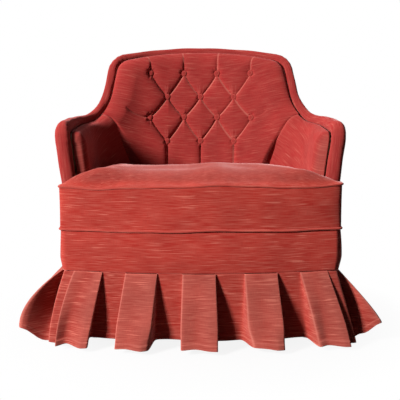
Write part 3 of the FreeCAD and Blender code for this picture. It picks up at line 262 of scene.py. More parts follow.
def rim_path(step=0.002):
    """Run, height and heading along the padded roll's line, from the back centre to the arm front."""
    out = []
    last = RIM_CORNERS[0]
    heading = 0.0

    def straight(p, q, angle):
        count = max(1, int(math.dist(p, q) / step))
        for i in range(count):
            t = i / count
            out.append((p[0] + (q[0] - p[0]) * t, p[1] + (q[1] - p[1]) * t, angle))

    for (p0, p1, p2), radius in zip(zip(RIM_CORNERS, RIM_CORNERS[1:], RIM_CORNERS[2:]), RIM_BENDS):
        a = math.atan2(p1[1] - p0[1], p1[0] - p0[0])
        heading = math.atan2(p2[1] - p1[1], p2[0] - p1[0])
        turn = heading - a
        sign = math.copysign(1.0, turn)
        trim = radius * math.tan(abs(turn) / 2)
        start = (p1[0] - trim * math.cos(a), p1[1] - trim * math.sin(a))
        straight(last, start, a)
        centre = (start[0] - sign * radius * math.sin(a), start[1] + sign * radius * math.cos(a))
        count = max(4, int(abs(turn) * radius / step))
        for i in range(count):
            t = a + turn * i / count
            out.append((centre[0] + sign * radius * math.sin(t), centre[1] - sign * radius * math.cos(t), t))
        last = (p1[0] + trim * math.cos(heading), p1[1] + trim * math.sin(heading))
    straight(last, RIM_CORNERS[-1], heading)
    out.append((*RIM_CORNERS[-1], heading))
    return np.array(out)


RIM = rim_path()


def roll_radius(s):
    return ROLL_BACK + (ROLL_ARM - ROLL_BACK) * smooth((np.abs(s) - FOOT_RUN) / (RUN_END - FOOT_RUN))


def rim_inside(distance):
    """The roll's line moved inward, as run and height."""
    s, z, t = RIM.T
    return np.stack([s + distance * np.sin(t), z - distance * np.cos(t)], -1)


def frame_top(s):
    """Height of the frame under the roll."""
    under = rim_inside(roll_radius(RIM[:, 0]) + 0.0008)
    end = int(np.argmax(under[:, 0])) + 1
    return np.interp(np.abs(s), under[:end, 0], under[:end, 1])


def bow_y(x, o=0.0):
    r = BOW_RADIUS + o
    return BOW_CENTRE - np.sqrt(r * r - np.asarray(x, float) ** 2)


def drift(points, wave, amount, seed=0.0):
    """Slow unevenness of hand-laid padding: three waves added together."""
    k = 2 * math.pi / wave
    x, y, z = points[..., 0], points[..., 1], points[..., 2]
    total = np.sin(k * (x + 0.31 * y) + 1.3 + seed)
    total += np.sin(k * (0.83 * y - 0.5 * z) + 2.1 + 2 * seed)
    total += np.sin(k * (0.77 * z + 0.45 * x) + 0.7 + 3 * seed)
    return amount * total / 3


def path_lengths(points):
    steps = np.linalg.norm(np.diff(points, axis=0), axis=1)
    return np.concatenate([[0.0], np.cumsum(steps)])


# Meshes
def only(obj):
    """Select one object alone and make it active."""
    bpy.ops.object.select_all(action="DESELECT")
    obj.select_set(True)
    bpy.context.view_layer.objects.active = obj


def new_piece(name, points, faces):
    """New object of bare points and faces, in the scene."""
    mesh = bpy.data.meshes.new(name)
    mesh.from_pydata(points, [], faces)
    obj = bpy.data.objects.new(name, mesh)
    bpy.context.scene.collection.objects.link(obj)
    return obj


def join_pieces(pieces, name):
    only(pieces[0])
    for piece in pieces[1:]:
        piece.select_set(True)
    bpy.ops.object.join()
    bpy.context.object.name = name
    return bpy.context.object


def mesh_points(mesh):
    points = np.zeros(len(mesh.vertices) * 3)
    mesh.vertices.foreach_get("co", points)
    return points.reshape(-1, 3)


def set_points(mesh, points):
    mesh.vertices.foreach_set("co", points.ravel())
    mesh.update()


def cloth_map(mesh, uv):
    """Map of the cloth on the mesh, in metres along and across it."""
    mesh.uv_layers.new(name="cloth").data.foreach_set("uv", np.asarray(uv, np.float32).ravel())


def point_layer(mesh, name, values):
    layer = mesh.attributes.new(name, "FLOAT", "POINT")
    layer.data.foreach_set("value", np.asarray(values, np.float32).ravel())


def shade_soft(mesh):
    mesh.polygons.foreach_set("use_smooth", [True] * len(mesh.polygons))


def tube_points(line, across, third, radius, turn):
    """Rings of points round a line, from two directions square to it."""
    out, up = radius * np.cos(turn), radius * np.sin(turn)
    return line[:, None] + across[:, None] * out[..., None] + third[:, None] * up[..., None]


def grid_piece(name, points, uv, wrap=False, flip=False, layers=None):
    """Mesh over a grid of points. wrap joins the second direction round and caps both ends."""
    nu, nv = points.shape[:2]
    i, j = np.meshgrid(np.arange(nu - 1), np.arange(nv if wrap else nv - 1), indexing="ij")
    k = (j + 1) % nv
    quads = np.stack([i * nv + j, (i + 1) * nv + j, (i + 1) * nv + k, i * nv + k], -1).reshape(-1, 4)
    corners = np.stack([uv[i, j], uv[i + 1, j], uv[i + 1, j + 1], uv[i, j + 1]], 2).reshape(-1, 4, 2)
    if flip:
        quads, corners = quads[:, ::-1], corners[:, ::-1]
    faces = quads.tolist()
    corners = corners.reshape(-1, 2).tolist()
    if wrap:
        for row, order in ((0, 1), (nu - 1, -1)):
            ring = list(range(row * nv, row * nv + nv))[::order]
            faces.append(ring)
            corners += uv[row, :nv][::order].tolist()
    obj = new_piece(name, points.reshape(-1, 3).tolist(), faces)
    cloth_map(obj.data, corners)
    for key, values in (layers or {}).items():
        point_layer(obj.data, key, values)
    shade_soft(obj.data)
    obj.data.validate()
    return obj


def face_outward(obj):
    only(obj)
    bpy.ops.object.mode_set(mode="EDIT")
    bpy.ops.mesh.select_all(action="SELECT")
    bpy.ops.mesh.normals_make_consistent(inside=False)
    bpy.ops.object.mode_set(mode="OBJECT")


def apply_modifiers(obj):
    only(obj)
    for modifier in list(obj.modifiers):
        bpy.ops.object.modifier_apply(modifier=modifier.name)


def thicken(obj, thickness, side=-1.0):
    """Give a sheet its thickness; side -1 keeps the outer face where it is."""
    solid = obj.modifiers.new("Thickness", "SOLIDIFY")
    solid.thickness = thickness
    solid.offset = side
    solid.use_even_offset = True
    solid.thickness_clamp = 1.0
    apply_modifiers(obj)
    return obj


def dress(obj, body, slot, material, *nodes):
    """Material, body and the solids that a finished piece stands for; slot is not used."""
    obj.data.materials.clear()
    obj.data.materials.append(material)
    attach(obj, body)
    if nodes:
        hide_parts(*nodes)
    return obj


# Node groups and materials
def add_node(tree, kind, place, **values):
    node = tree.nodes.new(kind)
    node.location = place
    for key, value in values.items():
        setattr(node, key, value)
    return node


def new_group(name, inputs, outputs):
    """Empty shader group with typed sockets: (name, socket type, default)."""
    group = bpy.data.node_groups.new(name, "ShaderNodeTree")
    for label, kind, default in inputs:
        socket = group.interface.new_socket(label, in_out="INPUT", socket_type=kind)
        if default is not None:
            socket.default_value = default
    for label, kind in outputs:
        group.interface.new_socket(label, in_out="OUTPUT", socket_type=kind)
    start = add_node(group, "NodeGroupInput", (-1200, 0))
    end = add_node(group, "NodeGroupOutput", (900, 0))
    return group, start, end


def noise_of(group, vector, scale, place, detail=2.0, roughness=0.55):
    """Noise over a stretched copy of the cloth's coordinates."""
    links = group.links
    stretch = add_node(group, "ShaderNodeMapping", place)
    stretch.inputs["Scale"].default_value = scale
    links.new(vector, stretch.inputs["Vector"])
    noise = add_node(group, "ShaderNodeTexNoise", (place[0] + 180, place[1]))
    noise.inputs["Scale"].default_value = 1.0
    noise.inputs["Detail"].default_value = detail
    noise.inputs["Roughness"].default_value = roughness
    links.new(stretch.outputs["Vector"], noise.inputs["Vector"])
    return noise.outputs["Fac"]


def feed(group, value, socket):
    """Set a socket to a plain value, or link another node's output to it."""
    if isinstance(value, (int, float, tuple)):
        socket.default_value = value
    else:
        group.links.new(value, socket)


def remap(group, value, low, high, to_low, to_high, place):
    node = add_node(group, "ShaderNodeMapRange", place)
    for key, number in zip(("From Min", "From Max", "To Min", "To Max"), (low, high, to_low, to_high)):
        node.inputs[key].default_value = number
    group.links.new(value, node.inputs["Value"])
    return node.outputs["Result"]


def math_of(group, operation, a, b, place):
    node = add_node(group, "ShaderNodeMath", place, operation=operation)
    for socket, value in zip(node.inputs, (a, b)):
        feed(group, value, socket)
    return node.outputs["Value"]


def mix_of(group, factor, a, b, place, mode="MIX"):
    node = add_node(group, "ShaderNodeMix", place, data_type="RGBA", blend_type=mode)
    colors = [socket for socket in node.inputs if socket.type == "RGBA"]
    for socket, value in zip((node.inputs["Factor"], *colors), (factor, a, b)):
        feed(group, value, socket)
    return [socket for socket in node.outputs if socket.type == "RGBA"][0]


def seen_rays(tree, x, y):
    """1 for rays that show a surface, straight, mirrored or through glass; 0 for those that light it."""
    rays = add_node(tree, "ShaderNodeLightPath", (x, y)).outputs
    seen = math_of(tree, "MAXIMUM", rays["Is Camera Ray"], rays["Is Glossy Ray"], (x + 200, y))
    return math_of(tree, "MAXIMUM", seen, rays["Is Transmission Ray"], (x + 360, y))


def slub_velvet_group():
    """Striated pile: pale slubs along the cloth, fine ribs across, bruises, and pale fold lines: painted
    highlight with some wear of the pile.
    """
    group, start, end = new_group("Slub velvet", [
        ("Vector", "NodeSocketVector", None), ("Highlight_wear", "NodeSocketFloat", 0.0),
        ("Ground", "NodeSocketColor", (0.46, 0.04, 0.03, 1)), ("Slub", "NodeSocketColor", (0.7, 0.2, 0.15, 1)),
        ("Edge", "NodeSocketColor", (0.66, 0.2, 0.15, 1)), ("Streaks", "NodeSocketFloat", 0.75)],
        [("Color", "NodeSocketColor"), ("Roughness", "NodeSocketFloat"), ("Height", "NodeSocketFloat")])
    vector = start.outputs["Vector"]
    slubs = noise_of(group, vector, (15, 15, 430), (-900, 300), 1.0, 0.4)
    slubs = remap(group, slubs, 0.61, 0.71, 0, 1, (-500, 300))
    clusters = noise_of(group, vector, (12, 12, 40), (-900, 60), 1.0)
    clusters = remap(group, clusters, 0.32, 0.62, 0.3, 1, (-500, 60))
    faint = noise_of(group, vector, (22, 22, 520), (-900, -180), 2.0)
    faint = remap(group, faint, 0.38, 0.74, 0, 0.55, (-500, -180))
    ribs = noise_of(group, vector, (1100, 1100, 60), (-900, -420), 1.0)
    pile = noise_of(group, vector, (1500, 1500, 1500), (-900, -660), 1.0)
    bruise = noise_of(group, vector, (10, 10, 14), (-900, -900), 1.0)
    mask = math_of(group, "MULTIPLY", slubs, clusters, (-300, 200))
    mask = math_of(group, "ADD", mask, faint, (-120, 160))
    mask = math_of(group, "MULTIPLY", mask, start.outputs["Streaks"], (40, 160))
    tone = remap(group, bruise, 0.3, 0.7, 0.9, 1.07, (-300, -900))
    for source, low, place in ((ribs, 0.93, (-300, -420)), (pile, 0.94, (-300, -660))):
        share = remap(group, source, 0.3, 0.7, low, 1.06, place)
        tone = math_of(group, "MULTIPLY", tone, share, (-60, place[1]))
    shade = add_node(group, "ShaderNodeCombineColor", (220, -700))
    for socket in shade.inputs:
        group.links.new(tone, socket)
    color = mix_of(group, mask, start.outputs["Ground"], start.outputs["Slub"], (240, 200))
    color = mix_of(group, 1.0, color, shade.outputs["Color"], (420, 100), "MULTIPLY")
    # Pale fold lines by mask: painted highlight with some wear of the pile
    color = mix_of(group, start.outputs["Highlight_wear"], color, start.outputs["Edge"], (600, 100))
    group.links.new(color, end.inputs["Color"])
    group.links.new(remap(group, mask, 0, 1, 0.86, 0.7, (420, -200)), end.inputs["Roughness"])
    height = math_of(group, "ADD", math_of(group, "MULTIPLY", pile, 0.35, (220, -420)),
                     math_of(group, "MULTIPLY", ribs, 0.35, (220, -520)), (420, -420))
    height = math_of(group, "ADD", height, math_of(group, "MULTIPLY", mask, 0.4, (420, -560)), (600, -420))
    group.links.new(height, end.inputs["Height"])
    return group


def plain_weave_group():
    """Warp and weft threads of plain cloth, in metres."""
    group, start, end = new_group("Plain weave", [
        ("Vector", "NodeSocketVector", None), ("Threads", "NodeSocketFloat", 500.0),
        ("Light", "NodeSocketColor", (0.4, 0.3, 0.2, 1)), ("Dark", "NodeSocketColor", (0.2, 0.14, 0.08, 1))],
        [("Color", "NodeSocketColor"), ("Height", "NodeSocketFloat")])
    split = add_node(group, "ShaderNodeSeparateXYZ", (-900, 0))
    group.links.new(start.outputs["Vector"], split.inputs["Vector"])
    waves = []
    for axis, y in (("X", 200), ("Y", -100), ("Z", -400)):
        turn = math_of(group, "MULTIPLY", split.outputs[axis], start.outputs["Threads"], (-700, y))
        turn = math_of(group, "MULTIPLY", turn, math.pi, (-540, y))
        waves.append(math_of(group, "ABSOLUTE", math_of(group, "SINE", turn, 0.0, (-380, y)), 0.0, (-220, y)))
    weft = math_of(group, "MAXIMUM", waves[1], waves[2], (-60, -200))
    weave = math_of(group, "MULTIPLY", waves[0], weft, (100, 0))
    slack = noise_of(group, start.outputs["Vector"], (60, 60, 60), (-300, -700), 3.0)
    mask = math_of(group, "ADD", weave, remap(group, slack, 0.3, 0.7, -0.3, 0.3, (60, -700)), (260, -100))
    color = mix_of(group, mask, start.outputs["Dark"], start.outputs["Light"], (480, 100))
    group.links.new(color, end.inputs["Color"])
    group.links.new(weave, end.inputs["Height"])
    return group


def wood_grain_group():
    """Long beech grain with short dark flecks."""
    group, start, end = new_group("Beech grain", [
        ("Vector", "NodeSocketVector", None), ("Light", "NodeSocketColor", (0.6, 0.4, 0.22, 1)),
        ("Dark", "NodeSocketColor", (0.4, 0.23, 0.11, 1))],
        [("Color", "NodeSocketColor"), ("Roughness", "NodeSocketFloat"), ("Height", "NodeSocketFloat")])
    vector = start.outputs["Vector"]
    figure = noise_of(group, vector, (14, 14, 3), (-900, 200), 4.0)
    grain = noise_of(group, vector, (160, 160, 9), (-900, -60), 3.0)
    flecks = noise_of(group, vector, (520, 520, 70), (-900, -320))
    flecks = remap(group, flecks, 0.62, 0.72, 0, 0.7, (-500, -320))
    mask = math_of(group, "ADD", math_of(group, "MULTIPLY", figure, 0.6, (-300, 200)),
                   math_of(group, "MULTIPLY", grain, 0.5, (-300, 0)), (-100, 100))
    color = mix_of(group, remap(group, mask, 0.35, 0.75, 0, 1, (60, 100)), start.outputs["Light"],
                   start.outputs["Dark"], (260, 100))
    color = mix_of(group, flecks, color, start.outputs["Dark"], (460, 100))
    group.links.new(color, end.inputs["Color"])
    group.links.new(remap(group, grain, 0.3, 0.7, 0.5, 0.68, (260, -200)), end.inputs["Roughness"])
    group.links.new(grain, end.inputs["Height"])
    return group


def cloth_vector(tree, place):
    """The piece's own map as cloth coordinates: along, unused, across."""
    source = add_node(tree, "ShaderNodeUVMap", place, uv_map="cloth")
    turn = add_node(tree, "ShaderNodeMapping", (place[0] + 180, place[1]))
    turn.inputs["Rotation"].default_value = (math.pi / 2, 0, 0)
    tree.links.new(source.outputs["UV"], turn.inputs["Vector"])
    return turn.outputs["Vector"]


def object_vector(tree, place):
    return add_node(tree, "ShaderNodeTexCoord", place).outputs["Object"]


def new_material(name, group, vector_of, sockets, bump, distance, roughness=0.8, extra=None):
    """Principled material fed by one of the groups; sockets and extra hold its plain values."""
    material = bpy.data.materials.new(name)
    material.use_nodes = True
    tree = material.node_tree
    shader = tree.nodes["Principled BSDF"]
    effect = add_node(tree, "ShaderNodeGroup", (-420, 100), node_tree=group)
    tree.links.new(vector_of(tree, (-900, 100)), effect.inputs["Vector"])
    for key, value in sockets.items():
        effect.inputs[key].default_value = value
    shader.inputs["Roughness"].default_value = roughness
    for key, value in (extra or {}).items():
        shader.inputs[key].default_value = value
    tree.links.new(effect.outputs["Color"], shader.inputs["Base Color"])
    if "Roughness" in effect.outputs:
        tree.links.new(effect.outputs["Roughness"], shader.inputs["Roughness"])
    if bump:
        relief = add_node(tree, "ShaderNodeBump", (-200, -260))
        relief.inputs["Strength"].default_value = bump
        relief.inputs["Distance"].default_value = distance
        tree.links.new(effect.outputs["Height"], relief.inputs["Height"])
        tree.links.new(relief.outputs["Normal"], shader.inputs["Normal"])
    return material, effect


def velvet(name, ground, streaks, sheen, wear_and_shade=None):
    """One dye lot of the cloth, made once; its second colour, mixed in by a mask, is painted light and shade
    with some wear of the pile.
    """
    found = bpy.data.materials.get(name)
    if found:
        return found
    look = bpy.context.scene.chair_velvet
    group = bpy.data.node_groups.get("Slub velvet") or slub_velvet_group()
    sockets = {"Ground": (*ground, 1), "Slub": (*look.slub, 1), "Edge": (*look.edge, 1), "Streaks": streaks}
    soft = {"Sheen Weight": sheen, "Sheen Roughness": 0.38, "Sheen Tint": (1.0, 0.68, 0.66, 1),
            "Specular IOR Level": 0.15, "Diffuse Roughness": 1.0}
    material, effect = new_material(name, group, cloth_vector, sockets, 0.35, 0.0012, extra=soft)
    tree = material.node_tree
    fold = add_node(tree, "ShaderNodeAttribute", (-700, -140), attribute_name="fold")
    tree.links.new(fold.outputs["Fac"], effect.inputs["Highlight_wear"])
    # Second colour by mask: painted shade on the seat top, painted light and shade on the skirt's faces and
    # recesses, with some wear
    if wear_and_shade:
        rub = add_node(tree, "ShaderNodeAttribute", (-900, -320), attribute_name="wear_and_shade")
        color = mix_of(tree, rub.outputs["Fac"], (*ground, 1), (*wear_and_shade, 1), (-700, -320))
        tree.links.new(color, effect.inputs["Ground"])
    return material


def shaded_wall_velvet():
    """The back, arms and roll: a darker red, painted shade, with fewer slubs."""
    look = bpy.context.scene.chair_velvet
    return velvet("Velvet of the walls", look.wall, 0.45 * look.streaks, 0.14)


def seat_velvet():
    """The cushion and apron, with a darker, greyer colour on top of the seat: painted shade, with some
    flattened pile.
    """
    look = bpy.context.scene.chair_velvet
    return velvet("Velvet of the seat", look.ground, 0.75 * look.streaks, 0.4, tuple(look.crushed_and_shaded))


def skirt_velvet():
    """The skirt: paler on the pleat faces and darker in the recesses, painted light and shade with some wear of
    the pile, and the most slubs.
    """
    look = bpy.context.scene.chair_velvet
    # Ground darkened for the skirt's recesses: painted shade
    shaded_ground = [0.88 * share for share in look.ground]
    return velvet("Velvet of the skirt", shaded_ground, look.streaks, 0.42, tuple(look.wear_and_shade))


def woven(name, vector_of, threads, light, dark):
    found = bpy.data.materials.get(name)
    if found:
        return found
    group = bpy.data.node_groups.get("Plain weave") or plain_weave_group()
    sockets = {"Threads": threads, "Light": (*light, 1), "Dark": (*dark, 1)}
    return new_material(name, group, vector_of, sockets, 0.5, 0.0006, 0.9)[0]


# Padded inside back
def back_radius(z):
    """Radius of the padded face about the round back's centre."""
    tuft = bpy.context.scene.chair_form.tuft_depth
    return HALF_WIDTH + LEAN_BACK * lean(z) + BACK_O - PAD_BACK + tuft / 2


def pad_thickness(s):
    thinner = smooth((np.abs(s) - PAD_FULL_RUN) / (SEAM_RUN_HIGH - PAD_FULL_RUN))
    return PAD_BACK + (PAD_SIDE - PAD_BACK) * thinner


def button_spots():
    """Arc length round the face and height of each button, rows of four and three."""
    spots = {}
    for row, rise in enumerate(BUTTON_ROWS):
        z = RAIL_TOP + rise
        places = (-1.5, -0.5, 0.5, 1.5) if row % 2 == 0 else (-1, 0, 1)
        for place in places:
            r = float(back_radius(np.float64(z)))
            spots[(row, place)] = (r * math.asin(place * BUTTON_PITCH / r), z)
    return spots


def crease_lines(form, spots):
    """Folds of the tufted back: ends, depth at start, middle and end, reach, strength of the painted highlight
    line, bow.
    """
    deep, mid = form.tuft_depth * 0.72, form.pleat_depth
    lines = []
    for (row, place), (x, z) in spots.items():
        for step in (-0.5, 0.5):
            below = spots.get((row + 1, place + step))
            if below:
                lines.append((x, z, *below, deep, mid, deep, 0.036, 1.0, 0.003 * math.copysign(1, step)))
        if row == 0:
            lines.append((x, z, x * 1.03, z + 0.075, deep, mid * 0.75, mid * 0.45, 0.024, 1.0, 0.0))
        if row == 3:
            lines.append((x, z, x, PAD_Z, deep, mid * 0.9, mid * 0.9, 0.026, 0.8, 0.0))
        if row in (1, 3):
            for tip in (-0.009, -0.001, 0.008):
                lines.append((x + tip * 0.4, z + 0.008, x + tip, z + 0.034,
                              0.006, 0.004, 0.0, 0.0055, 0.25, 0.0))
        else:
            for tip in (-0.006, 0.007):
                lines.append((x + tip * 0.5, z - 0.008, x + tip, z - 0.028,
                              0.005, 0.003, 0.0, 0.005, 0.15, 0.0))
    x, z = spots[(2, -1.5)]
    lines.append((x, z, x - 0.085, z + 0.030, deep, 0.006, 0.003, 0.02, 0.5, -0.006))
    x, z = spots[(2, 1.5)]
    lines.append((x, z, x + 0.06, z + 0.026, deep, 0.003, 0.0, 0.02, 0.1, 0.006))
    return lines


def tuft_field(x, z, form):
    """Depth of the tufting and share of the painted highlight along its folds, at points of the padded back."""
    spots = button_spots()
    depth, fold = np.zeros_like(x), np.zeros_like(x)
    for x0, z0, x1, z1, d0, dm, d1, reach, highlight_strength, bow in crease_lines(form, spots):
        dx, dz = x1 - x0, z1 - z0
        length = math.hypot(dx, dz)
        along = ((x - x0) * dx + (z - z0) * dz) / length ** 2
        t = np.clip(along, 0, 1)
        beyond = np.abs(along - t) * length
        off = ((x - x0) * dz - (z - z0) * dx) / length - bow * 4 * t * (1 - t)
        w = np.clip(1 - np.hypot(off, beyond) / reach, 0, 1)
        end = np.where(t < 0.5, d0 - dm, d1 - dm)
        depth = np.maximum(depth, (dm + end * np.abs(2 * t - 1) ** 2.2) * (1 - np.sqrt(1 - w * w)))
        # Painted highlight: a pale line beside one side of each fold
        lit = bell(np.abs(off), 0.0018, 0.0015) * (off * math.copysign(1, dx + 1e-9) > 0)
        fold = np.maximum(fold, highlight_strength * lit * (beyond < 1e-6))
    for (row, place), (bx, bz) in spots.items():
        r = np.hypot(x - bx, z - bz)
        angle = np.arctan2(z - bz, x - bx)
        w = np.clip(1 - np.maximum(r - 0.004, 0) / 0.026, 0, 1)
        pucker = 0.0006 * bell(r, 0.013, 0.007) * np.cos(8 * angle + 1.7 * row + place)
        depth = np.maximum(depth, form.tuft_depth * (1 - np.sqrt(1 - w * w))) + pucker
        fold = fold * (1 - np.exp(-(r / 0.010) ** 4))
    return depth, fold


def rounded_edge(distance, reach, depth):
    w = np.clip(1 - distance / reach, 0, 1)
    return depth * (1 - np.sqrt(1 - w * w))


def seam_share(v):
    """How far the arm seam has turned outward at a share of its height."""
    return np.asarray(v) ** SEAM_CURVE


def to_path(x, z, path):
    """Distance of points from a path, both as run round the face and height."""
    best = np.full(x.shape, 9.0)
    for px, pz in path:
        best = np.minimum(best, np.hypot(x - px, z - pz))
    return best


def pad_loop(front, back):
    """Closed section rings of a pad: the shown face up, then the hidden face down."""
    return np.concatenate([front, back[:, ::-1]], 1)


def pad_map(along, across, back_along, back_across):
    """Cloth map of a pad's section rings, its first column repeated at the end."""
    uv = pad_loop(np.stack([along, across], -1), np.stack([back_along, back_across], -1))
    return np.concatenate([uv, uv[:, :1]], 1)


def tufted_back(form):
    top = rim_inside(PAD_TUCK)
    top = top[:int(np.argmax(top[:, 0] >= SEAM_RUN_HIGH)) + 1]
    lengths = path_lengths(top)
    p = np.linspace(0, lengths[-1], 190)
    right = np.stack([np.interp(p, lengths, top[:, 0]), np.interp(p, lengths, top[:, 1])], -1)
    rim = np.concatenate([right[:0:-1] * (-1, 1), right])
    foot = rim[:, 0] * SEAM_RUN_LOW / SEAM_RUN_HIGH
    hidden = (BACK_SEEN_Z - PAD_Z) / (RIM_CORNERS[0][1] - PAD_Z)
    v = np.concatenate([np.linspace(0, hidden, 40)[:-1], np.linspace(hidden, 1, 170)])
    s = foot[:, None] + (rim[:, 0] - foot)[:, None] * seam_share(v)
    z = PAD_Z + (rim[:, 1] - PAD_Z)[:, None] * v
    x = s * back_radius(z) / HALF_WIDTH
    depth, fold = tuft_field(x, z, form)
    rim_x = right[:, 0] * back_radius(right[:, 1]) / HALF_WIDTH
    to_rim = to_path(np.abs(x), z, np.stack([rim_x, right[:, 1]], -1))
    to_seam = to_path(np.abs(x), z, np.stack([x[-1], z[-1]], -1))
    edge = rounded_edge(to_rim, 0.042, 0.034) + rounded_edge(to_seam, 0.030, 0.006)
    depth = np.minimum(np.hypot(depth, edge), PAD_SIDE)
    o = BACK_O - pad_thickness(s) + depth
    front = wall(s, z, o)
    front += drift(front, 0.11, 0.0016, 0.4)[..., None] * np.array([0.0, 1.0, 0.0])
    vb = np.array([0.0, 0.1, 0.25, 0.4, 0.7, 1.0])
    sb = foot[:, None] + (rim[:, 0] - foot)[:, None] * seam_share(vb)
    zb = PAD_Z + (rim[:, 1] - PAD_Z)[:, None] * vb
    points = pad_loop(front, wall(sb, zb, BACK_O))
    uv = pad_map(x, z - 0.5 * x * x, sb, zb)
    fold = np.concatenate([fold, np.zeros_like(sb)], 1)
    # Its fold layer is the painted highlight along the creases
    obj = grid_piece("tufted_back", points, uv, wrap=True, layers={"fold": 0.55 * fold})
    face_outward(obj)
    return obj


def wall_facing(s):
    """Direction from the back towards the sitter, square to its lean."""
    _, _, nx, ny, slope = plan(np.float64(s))
    return Vector((-nx, -ny, slope)).normalized()


def covered_buttons(form):
    """One domed button modelled from a sphere, then a copy set in every tuft."""
    bpy.ops.object.select_all(action="DESELECT")
    bpy.ops.mesh.primitive_uv_sphere_add(segments=28, ring_count=16, radius=form.button_radius)
    model = bpy.context.object
    bpy.ops.object.mode_set(mode="EDIT")
    bpy.ops.mesh.select_all(action="SELECT")
    bpy.ops.transform.resize(value=(1, 1, 0.72))
    bpy.ops.object.mode_set(mode="OBJECT")
    for vertex in model.data.vertices:
        x, y, z = vertex.co
        rim = math.hypot(x, y) / form.button_radius
        gather = 1 + 0.035 * rim ** 4 * math.sin(11 * math.atan2(y, x))
        vertex.co = (x * gather, y * gather, max(z, -0.0022))
    model.data.uv_layers[0].name = "cloth"
    copies = []
    for x, z in button_spots().values():
        s = x * HALF_WIDTH / float(back_radius(np.float64(z)))
        o = BACK_O - float(pad_thickness(s)) + form.tuft_depth - BUTTON_SEAT
        place = wall_facing(s).to_track_quat("Z", "Y").to_matrix().to_4x4()
        place.translation = Vector(wall(s, z, o).tolist())
        copy = model.copy()
        copy.data = model.data.copy()
        copy.data.transform(place)
        bpy.context.scene.collection.objects.link(copy)
        copies.append(copy)
    bpy.data.objects.remove(model)
    obj = join_pieces(copies, "tuft_buttons")
    bpy.ops.object.shade_smooth()
    for loop_uv in obj.data.uv_layers["cloth"].data:
        loop_uv.uv = (loop_uv.uv[0] * 0.05, loop_uv.uv[1] * 0.025)
    return obj


# Inside arms
def inside_arm(side):
    """Padded panel between the seam with the back and the roll, side 1 right or -1 left."""
    top = rim_inside(ARM_TUCK)
    end = int(np.argmax(top[:, 0])) + 1
    front_run = RUN_END - ARM_TUCK - FIT
    f = np.linspace(0, 1, 120)
    v = np.linspace(0, 1, 90)
    gap = 0.0012
    high = SEAM_RUN_HIGH + gap + (front_run - SEAM_RUN_HIGH - gap) * f
    peak = np.interp(high, top[:end, 0], top[:end, 1])

    def places(v):
        start = SEAM_RUN_LOW + (SEAM_RUN_HIGH - SEAM_RUN_LOW) * seam_share(v) + gap
        return start + (front_run - start) * f[:, None], PAD_Z + (peak - PAD_Z)[:, None] * v

    s, z = places(v)
    length = s[-1] - s[0]
    from_seam, to_front = f[:, None] * length, (1 - f)[:, None] * length
    to_top = to_path(s, z, np.stack([high, peak], -1))
    edge = rounded_edge(from_seam, 0.012, 0.002) + rounded_edge(to_front, 0.030, 0.024)
    edge = np.minimum(np.hypot(edge, rounded_edge(to_top, 0.034, 0.024)), 0.027)
    front = wall(side * s, z, ARM_O - PAD_ARM + edge)
    front[..., 0] += side * drift(front, 0.16, 0.0016, 1.1 + side)
    sb, zb = places(np.array([0.0, 0.2, 0.45, 0.7, 1.0]))
    points = pad_loop(front, wall(side * sb, zb, ARM_O))
    uv = pad_map(0.9 * s, z + 0.35 * s, 0.9 * sb, zb)
    # Pale band along the pad's front edge and the seam: wear of the pile with a painted highlight
    fold = 0.2 * bell(to_front, 0.0, 0.01) + 0.12 * bell(from_seam, 0.004, 0.003)
    fold = np.concatenate([fold, np.zeros_like(sb)], 1)
    name = "right_inside_arm_pad" if side > 0 else "left_inside_arm_pad"
    obj = grid_piece(name, points, uv, wrap=True, layers={"fold": fold})
    face_outward(obj)
    return obj


# Padded roll
def edge_roll():
    """One roll from arm front to arm front, with the small puckers of cloth drawn round a curve."""
    lengths = path_lengths(RIM[:, :2])
    half = np.arange(0, lengths[-1], 0.004)
    half = np.append(half, lengths[-1])
    s, z = (np.interp(half, lengths, column) for column in RIM.T[:2])
    s = np.concatenate([-s[:0:-1], s])
    z = np.concatenate([z[:0:-1], z])
    run = np.concatenate([-half[:0:-1], half])
    r = roll_radius(s)
    centre = wall(s, z, -FRAME_THICK - FIT + r)
    along = np.gradient(centre, axis=0)
    along /= np.linalg.norm(along, axis=1)[:, None]
    _, _, nx, ny, _ = plan(s)
    across = np.stack([nx, ny, np.zeros_like(nx)], -1)
    across -= along * np.sum(across * along, 1)[:, None]
    across /= np.linalg.norm(across, axis=1)[:, None]
    third = np.cross(along, across)
    turn = np.linspace(0, 2 * math.pi, 33)[:-1]
    bend = np.abs(np.gradient(np.unwrap(np.arctan2(np.gradient(z), np.gradient(s)))))
    bend = np.convolve(bend, np.ones(9) / 9, "same")
    p = run[:, None]
    pucker = 0.0007 * np.clip(bend / 0.06, 0, 1)[:, None] * np.sin(p * 420) * (1 + np.cos(turn - 2.6)) / 2
    uneven = 0.0006 * np.sin(p * 31 + 2 * np.sin(turn)) + 0.0004 * np.sin(p * 77 + 3 * turn)
    radius = r[:, None] * (1 - 0.03 * np.cos(2 * turn)) + pucker + uneven
    points = tube_points(centre, across, third, radius, turn)
    around = np.linspace(0, 2 * math.pi, 33)
    uv = np.stack(np.broadcast_arrays(p, r[:, None] * around + 3.0), -1)
    obj = grid_piece("edge_roll_cover", points, uv, wrap=True)
    face_outward(obj)
    return obj


# Sheets of the covering
def arm_runs(start, count):
    """Runs from a seam to the arm's front face, for the right and the left arm."""
    s = np.linspace(start, RUN_FACE, count)
    return ("right", s), ("left", -s[::-1])


def level_at(z):
    return lambda s: np.full(len(s), z)


